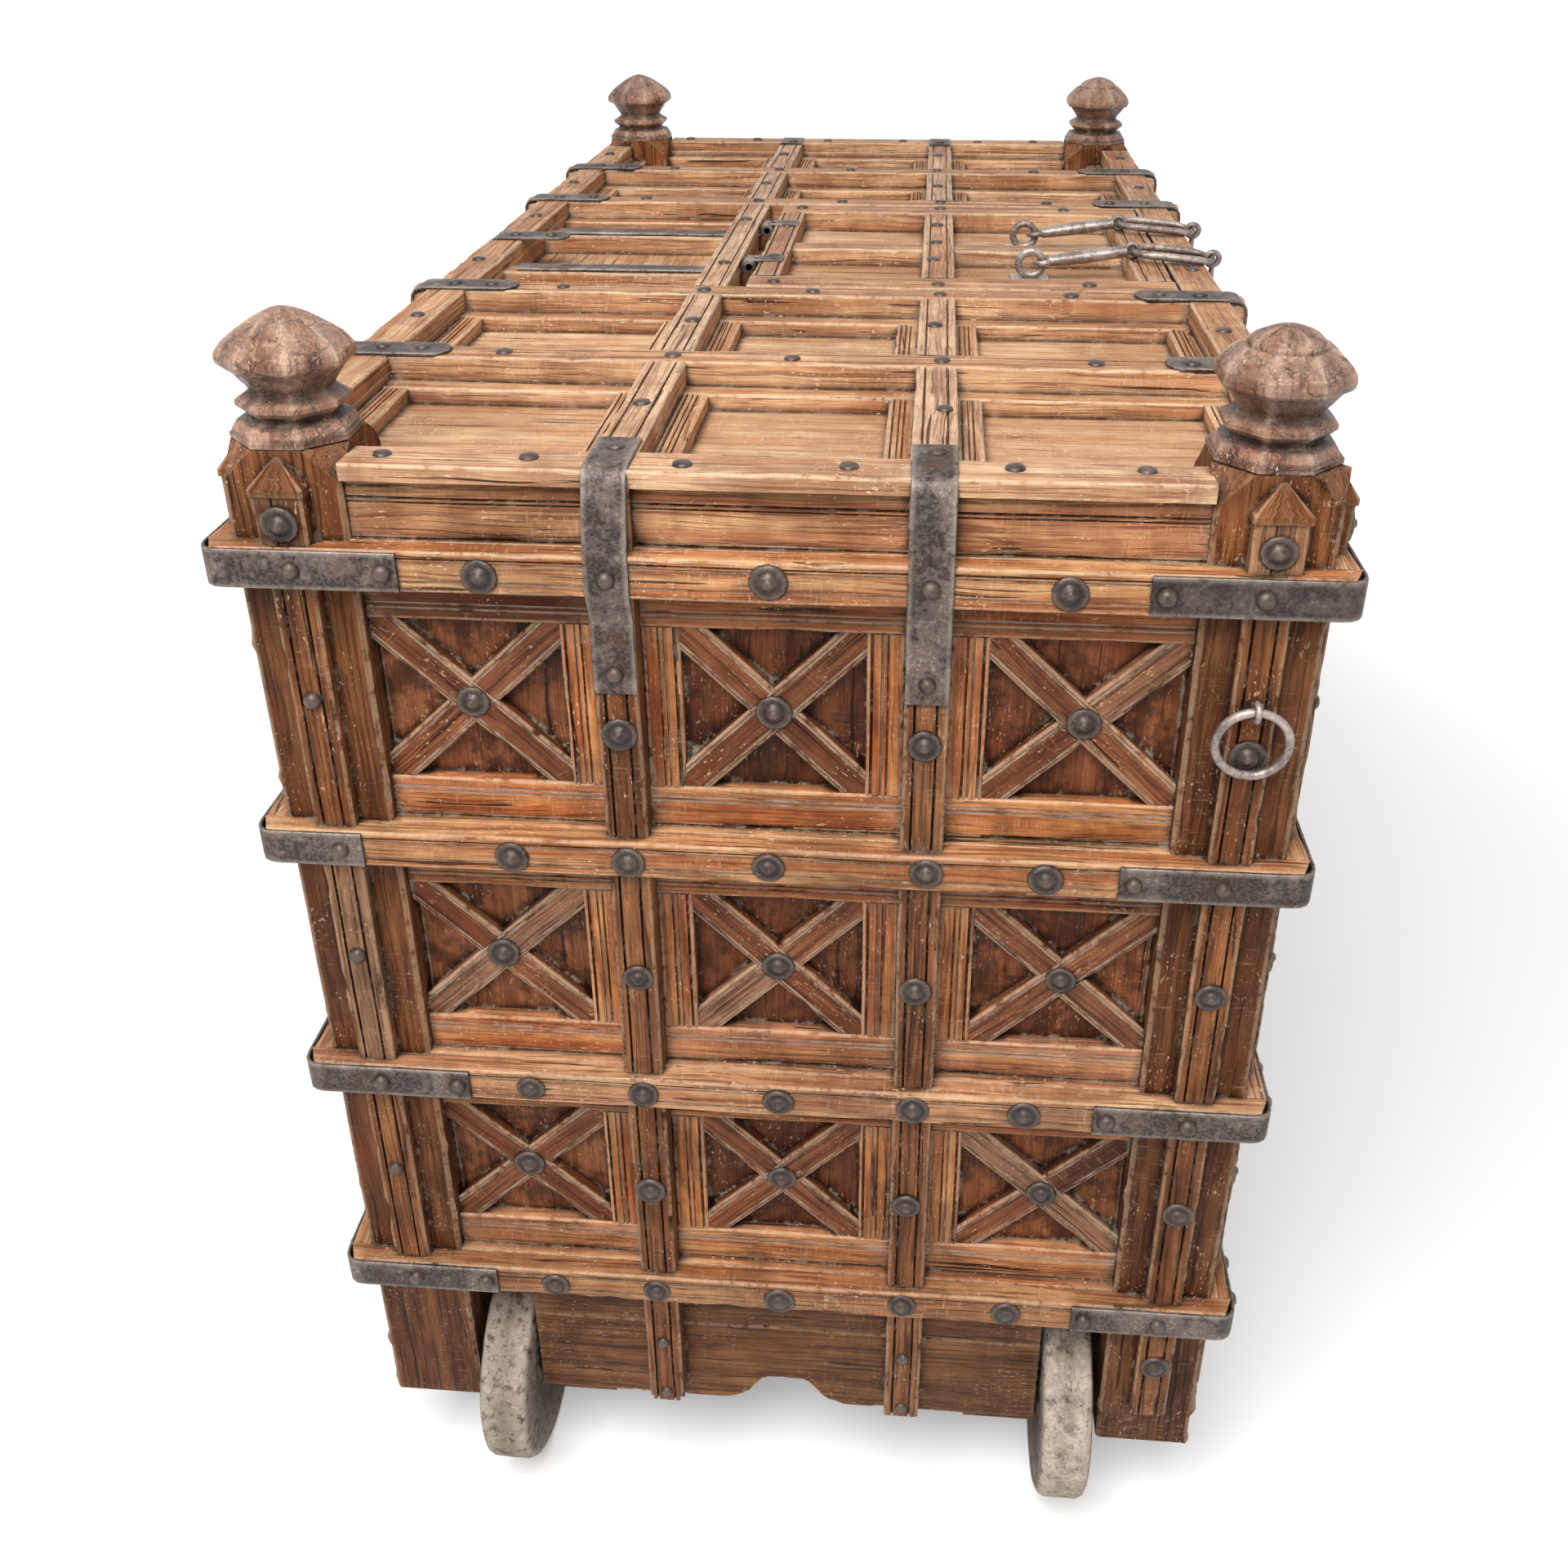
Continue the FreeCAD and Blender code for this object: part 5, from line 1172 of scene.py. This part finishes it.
def haspLoop(end, at, run):
    # the long sides swell and arch up between the two bends
    heap = newStock()
    ring = hasp["loopRing"]
    near = circlePath(ring, 24, (0, -ring, 0))[:13]
    far = circlePath(ring, 24, (0, ring - run.length, 0))
    stock = linkStock(near + far[12:] + far[:1], hasp["wire"])
    stock.normal_update()
    for vert in stock.verts:
        swell = hasp["swell"] * max(0.0, 1 - 1.5 * (2 * vert.co.y / run.length + 1) ** 2)
        vert.co += vert.normal * swell + Vector((0, 0, swell))
    fall = Matrix.Rotation(math.atan2(-run.z, -run.y), 4, Vector((1, 0, 0)))
    lay(heap, stock, Matrix.Translation(at) @ fall)
    settle(heap, f"hasp_loop_{end}", "chain_iron", f"hasp_loop_{end}", linkLook["smooth"])


def haspEnd(end, at):
    heap = newStock()
    base = Matrix.Translation(at)
    pivotEye(heap, base)
    lay(heap, rodStock(hasp["wire"], hasp["pivotEye"] - hasp["endLength"], -hasp["pivotEye"]), base)
    pivotEye(heap, base @ Matrix.Translation((0, 0, -hasp["endLength"])))
    settle(heap, f"hasp_end_{end}", "chain_iron", f"hasp_end_{end}", linkLook["smooth"])


staples = newStock()
for end in endWalls:
    armAt, loopAt = jointAt[f"hasp_arm_{end}_lift"], jointAt[f"hasp_loop_{end}_lift"]
    endAt = jointAt[f"hasp_end_{end}_swing"]
    haspStaple(staples, armAt)
    haspArm(end, armAt, loopAt - armAt)
    haspLoop(end, loopAt, endAt - loopAt)
    haspEnd(end, endAt)
settle(staples, "hasp_staples", "chain_iron", "hatch", linkLook["smooth"])

ringLook = {"radius": 0.0295, "wire": 0.00375, "stapleWire": 0.00275, "gap": 0.0004, "offset": 0.010,
            "studDrop": 0.047}
heap = newStock()
for end, sign in zip(endWalls, signs):
    at = jointAt[f"ring_{end}_swing"]
    ring = newStock()
    lay(ring, linkStock(circlePath(ringLook["radius"], 32), ringLook["wire"], 12),
        Matrix.Translation(at - Vector((0, 0, ringLook["radius"]))) @ onEdge)
    settle(ring, f"ring_{end}", "chain_iron", f"ring_{end}", linkLook["smooth"])
    eye = ringLook["wire"] + ringLook["gap"] + ringLook["stapleWire"]
    lay(heap, linkStock(circlePath(eye, 18), ringLook["stapleWire"]),
        Matrix.Translation(at) @ Matrix.Rotation(math.pi / 2, 4, "X"))
    lay(heap, rodStock(ringLook["stapleWire"], eye, ringLook["offset"]),
        Matrix.Translation(at) @ Matrix.Rotation(-sign * math.pi / 2, 4, "Y"))
settle(heap, "ring_staples", "chain_iron", smooth=linkLook["smooth"])
print("hasps and rings made")

# Wheels: thick discs cut by hand, worn round
wheelLook = {"edge": 0.009, "bore": 0.01305, "dish": 0.001, "steps": 56, "rim": {"front": 0.9, "back": -1.1},
             "flank": -2.6, "rub": 0.012, "chip": 0.01}


def wheel(name, side):
    low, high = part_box(name)
    centre = (low + high) / 2
    radius, thick, edge, dish = (high.z - low.z) / 2, high.y - low.y, wheelLook["edge"], wheelLook["dish"]
    half = [(wheelLook["bore"], 0, 0.2), (radius * 0.5, dish, 0.1), (radius - edge, 0.0, 0.6),
            (radius - edge * 0.3, edge * 0.35, 1), (radius, edge, 0.9)]
    rest = [(reach, thick - height, worn) for reach, height, worn in reversed(half)]
    stock = turnedStock(half + [(radius, thick / 2, 0.5)] + rest, wheelLook["steps"], 0.3)
    tone, grain = layer(stock, "tone"), layer(stock, "grainCo")
    shift = Vector((dice.uniform(0, 9), dice.uniform(0, 9), 0))
    for vert in stock.verts:
        reach = Vector((vert.co.x, vert.co.y)).length
        if reach > radius * 0.6:
            rub = max(0.0, noise.noise(vert.co * 26 + shift))
            chip = max(0.0, noise.noise(vert.co * 80 + shift))
            shrink = 1 - wheelLook["rub"] * rub - wheelLook["chip"] * chip
            vert.co.x *= shrink
            vert.co.y *= shrink
        vert[tone] = wheelLook["rim"][side] if reach > radius - edge else wheelLook["flank"]
        vert[grain] = Vector((vert.co.x * 0.4, vert.co.y, vert.co.z)) + shift
    heap = newStock()
    lay(heap, stock, Matrix.Translation((centre.x, low.y, centre.z)) @ Matrix.Rotation(-math.pi / 2, 4, "X"))
    settle(heap, name, "wheel_wood", name, 50)


for side in sideWalls:
    for end in endWalls:
        wheel(f"wheel_{side}_{end}", side)
blockLook = {"thick": 0.078, "wide": 0.080}
blockLow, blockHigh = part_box("axle_blocks")
heap = newStock()
for signX, signY in fourCorners:
    alongY(heap, onSide(signX, blockHigh.x, blockHigh.x - blockLook["thick"]),
           onSide(signY, blockHigh.y, blockHigh.y - blockLook["wide"]), (blockLow.z, blockHigh.z), pitch=0.02)
settle(heap, "axle_blocks", "under_wood")
for name in ("axles", "linchpins", "hinge_pins"):
    frame["nodes"][name].data.materials.clear()
    frame["nodes"][name].data.materials.append(finishes["strap_iron"])
print("wheels made")

# Studs with washers, rivets and plain nails, as profiles
studLook = {"washer": [(0.0152, 0.0, 0.4), (0.0148, 0.0022, 1), (0.0132, 0.0032, 1), (0.0104, 0.0022, 0.0),
                       (0.0084, 0.0026, 0.0), (0.0074, 0.0050, 0.6), (0.0044, 0.0062, 0.4),
                       (0.0028, 0.0080, 1), (0.0, 0.0086, 1)],
            "nail": [(0.0082, 0.0, 0.3), (0.0074, 0.0022, 0.8), (0.0042, 0.0032, 0.6), (0.0, 0.0035, 0.6)],
            "rivet": [(0.0080, 0.0, 0.2), (0.0072, 0.0034, 0.7), (0.0044, 0.0060, 1), (0.0, 0.0068, 1)],
            "smooth": 60}
studSpots = {"stray": 0.003, "strayUp": 0.001, "strap": 0.003, "cornerStrap": 0.0028, "strapFoot": 0.018,
             "underBelt": -0.012, "postLift": 0.01, "skirt": (0.166, 0.245), "leg": 0.2585, "crossSize": 1.04,
             "skirtSize": 0.85, "strapSize": 1.05, "pegSize": 1.05, "endArms": (0.075, 0.150),
             "sideArms": (0.035, 0.080)}


def stud(heap, matrix, kind="washer", size=1.0):
    stock = turnedStock(studLook[kind], 12 if kind == "washer" else 9)
    tilt = Matrix.Rotation(math.radians(dice.gauss(0, 2.5)), 4, "X")
    lean = tilt @ Matrix.Rotation(dice.uniform(0, 6), 4, "Z")
    grow = size * dice.uniform(0.93, 1.07)
    lay(heap, stock, matrix @ lean @ Matrix.Diagonal((grow, grow * dice.uniform(0.96, 1.04), grow, 1)))


def onWall(side, across, up, out):
    return walls[side] @ Matrix.Translation((across, up, out))


def wallStuds(side, heap):
    atEnd = side in endWalls
    proud, out = wallLook["battenProud"], beltLook["thick"]
    lines = [step * battenPitch for step in battenSteps[side]]
    middles = [(left + right) / 2 for left, right in zip(seams(side), seams(side)[1:])]
    for row, foot in enumerate(levels):
        strapped = atEnd and row == 3  # end straps cross this belt
        for across in middles + ([] if strapped else lines):
            spot = across + dice.gauss(0, studSpots["stray"])
            stud(heap, onWall(side, spot, foot + beltHigh / 2 + dice.gauss(0, studSpots["strayUp"]), out))
        if strapped:
            for across in lines:
                stud(heap, onWall(side, across, foot + beltHigh / 2, out + studSpots["strap"]), "rivet")
    for row, limits in enumerate(rows):
        centre = sum(limits) / 2
        upper = row == 2
        for across in lines:
            lift = studSpots["underBelt"] if upper and atEnd else 0.0
            stud(heap, onWall(side, across + dice.gauss(0, studSpots["strayUp"]), centre + lift, proud))
        for sign in signs:
            underRing = upper and sign > 0 and atEnd
            up = centre + studSpots["postLift"]
            if underRing:
                up = jointAt[f"ring_{side}_swing"].z - ringLook["studDrop"]
            small = (sign < 0 and side == "left") or (upper and not underRing)
            stud(heap, onWall(side, sign * (wallHalf[side] + postSize / 2), up, proud),
                 "rivet" if small else "washer")
        if side != "back":
            for _, _, left, right in fields(side):
                stud(heap, onWall(side, (left + right) / 2, centre, wallLook["crossFront"]),
                     size=studSpots["crossSize"])
    for across in lines:
        for up in studSpots["skirt"]:
            stud(heap, onWall(side, across, up, proud), "rivet", studSpots["skirtSize"])
    if atEnd:
        stud(heap, onWall(side, wallHalf[side] + postSize / 2, studSpots["leg"], proud))


heap = newStock()
for side in walls:
    wallStuds(side, heap)
for side, across in pegSpots:
    stud(heap, onWall(side, across, beltTop + pegLook["stud"], pegLook["proud"] - pegLook["over"]),
         size=studSpots["pegSize"])
strapOut = beltLook["thick"] + studSpots["cornerStrap"]
for row, foot in enumerate(levels):
    for side in walls:
        reach, arms = (beltY, studSpots["endArms"]) if side in endWalls else (beltX, studSpots["sideArms"])
        for sign in signs:
            short = side == "left" and sign < 0 and row == shortRow
            for back in arms[:1] if short else arms:
                stud(heap, onWall(side, sign * (reach - back), foot + beltHigh / 2, strapOut), "rivet",
                     studSpots["strapSize"])
for side in endWalls:
    for step in battenSteps[side]:
        stud(heap, onWall(side, step * battenPitch, beltFoot - strapLook["tail"] + studSpots["strapFoot"],
                          wallLook["battenProud"] + studSpots["strap"]), "rivet")
settle(heap, "wall_studs", "strap_iron", smooth=studLook["smooth"], finish="stud_iron", stands=False)

# Nails of the top: places along the bars, some counted in bays
nailSpots = {"endBars": (0.307, 0.197, 0.068, -0.063, -0.192, -0.293),
             "crossBars": (0.29, 0.128, 0.01, -0.128, -0.277),
             "longBars": (-2.55, -1.5, -0.5, 0.5, 1.5, 2.55), "sideBars": (-2.5, -1.5, -0.5, 0.5, 1.5, 2.5),
             "clip": (0.075, 0.03), "strapIn": 0.05, "hatchRails": (0.06, -0.13, -0.30), "hatchFront": 0.1,
             "hatchBack": 0.09}


def topNail(heap, x, y, lift=0.0):
    x += dice.gauss(0, studSpots["stray"])
    y += dice.gauss(0, studSpots["stray"])
    stud(heap, Matrix.Translation((x, y, topZ + lift)), "nail")


edgeMid = topLook["edgeWide"] / 2
heap = newStock()
for signX in signs:
    for y in nailSpots["endBars"]:
        topNail(heap, signX * (edgeInX + edgeMid), y)
    for signY in signs:
        topNail(heap, signX * (edgeOutX - nailSpots["strapIn"]), signY * battenPitch / 2, strapLook["thick"])
for step in crossSteps:
    for y in nailSpots["crossBars"]:
        topNail(heap, step * battenPitch, y)
for name, span in barSpans.items():
    for step in nailSpots["longBars"]:
        if name == "back" or abs(step) > 1:
            topNail(heap, step * battenPitch, sum(span) / 2)
for sign in signs:
    for step in nailSpots["sideBars"]:
        topNail(heap, step * battenPitch, sign * (edgeInY + edgeMid))
for x, sign in clipSpots:
    for back in nailSpots["clip"]:
        topNail(heap, x, sign * (edgeOutY - back), strapLook["thick"])
settle(heap, "top_nails", "strap_iron", smooth=studLook["smooth"], finish="stud_iron", stands=False)
heap = newStock()
frontMid = sum(barSpans["front"]) / 2
for sign in signs:
    for y in nailSpots["hatchRails"]:
        topNail(heap, sign * (railIn + hatchLook["rail"] / 2), y)
    topNail(heap, sign * nailSpots["hatchFront"], frontMid)
    topNail(heap, sign * nailSpots["hatchBack"], backIn + hatchLook["back"] / 2)
topNail(heap, 0.0, frontMid)
settle(heap, "hatch_nails", "strap_iron", "hatch", studLook["smooth"], "stud_iron", stands=False)
print("studs made")

# Stage: pale floor, soft light and the camera
stage = {"floor": 9.0, "floorColour": (0.85, 0.85, 0.85, 1), "glow": (1.2, 3.2), "lift": 0.3, "sky": 0.36,
         "skyColour": (1, 0.99, 0.975, 1), "lamp": 2.4, "lampPower": 200.0, "lampAt": (-2.7, 0.5, 4.2),
         "lampAim": (0, 0, 0.8)}
view = {"at": (-1.89277, -0.12035, 1.64701), "turn": (63.0886, 0.1952, -85.4454), "sensor": 36, "lens": 34.01,
        "shift": (-0.0176, -0.0978)}
scene = bpy.context.scene


def seenDirectly(tree):
    # camera, gloss and glass rays
    rays = put(tree, "ShaderNodeLightPath").outputs
    through = calc(tree, "MAXIMUM", rays["Is Glossy Ray"], rays["Is Transmission Ray"])
    return calc(tree, "MAXIMUM", rays["Is Camera Ray"], through)


def surface(tree, kind, shader):
    output = next(node for node in tree.nodes if node.type == kind)
    tree.links.new(shader.outputs[0], output.inputs["Surface"])


def place(name, data):
    item = bpy.data.objects.new(name, data)
    scene.collection.objects.link(item)
    return item


grid = bmesh.new()
bmesh.ops.create_grid(grid, x_segments=1, y_segments=1, size=stage["floor"])
floorMesh = bpy.data.meshes.new("floor")
grid.to_mesh(floorMesh)
grid.free()
place("floor", floorMesh)
floorMaterial, tree, shader, position = startMaterial("paleFloor")
for name, value in (("Base Color", stage["floorColour"]), ("Roughness", 0.95), ("Specular IOR Level", 0.0)):
    shader.inputs[name].default_value = value
reach = put(tree, "ShaderNodeVectorMath", {"operation": "LENGTH"}, {0: position}).outputs["Value"]
glow = times(tree, seenDirectly(tree), ramp(tree, reach, *stage["glow"], stage["lift"], 1.0))
white = put(tree, "ShaderNodeEmission", None, {"Color": (1, 1, 1, 1), "Strength": glow})
lit = put(tree, "ShaderNodeAddShader", None, {0: shader.outputs[0], 1: white.outputs[0]})
surface(tree, "OUTPUT_MATERIAL", lit)
floorMesh.materials.append(floorMaterial)

scene.world = bpy.data.worlds.new("studio")
scene.world.use_nodes = True
tree = scene.world.node_tree
sky = next(node for node in tree.nodes if node.type == "BACKGROUND")
sky.inputs["Color"].default_value = stage["skyColour"]
sky.inputs["Strength"].default_value = stage["sky"]
white = put(tree, "ShaderNodeBackground", None, {"Color": (1, 1, 1, 1), "Strength": 1.0})
backdrop = put(tree, "ShaderNodeMixShader", None,
               {0: seenDirectly(tree), 1: sky.outputs[0], 2: white.outputs[0]})
surface(tree, "OUTPUT_WORLD", backdrop)

lampData = bpy.data.lights.new("softLamp", "AREA")
lampData.shape = "SQUARE"
lampData.size = stage["lamp"]
lampData.energy = stage["lampPower"]
lamp = place("softLamp", lampData)
lamp.location = stage["lampAt"]
lamp.rotation_euler = (Vector(stage["lampAim"]) - lamp.location).to_track_quat("-Z", "Y").to_euler()

cameraData = bpy.data.cameras.new("camera")
cameraData.sensor_width = view["sensor"]
cameraData.lens = view["lens"]
cameraData.shift_x, cameraData.shift_y = view["shift"]
camera = place("camera", cameraData)
camera.location = view["at"]
camera.rotation_euler = [math.radians(value) for value in view["turn"]]
scene.camera = camera
scene.view_settings.view_transform = "Standard"

print("scene ready")
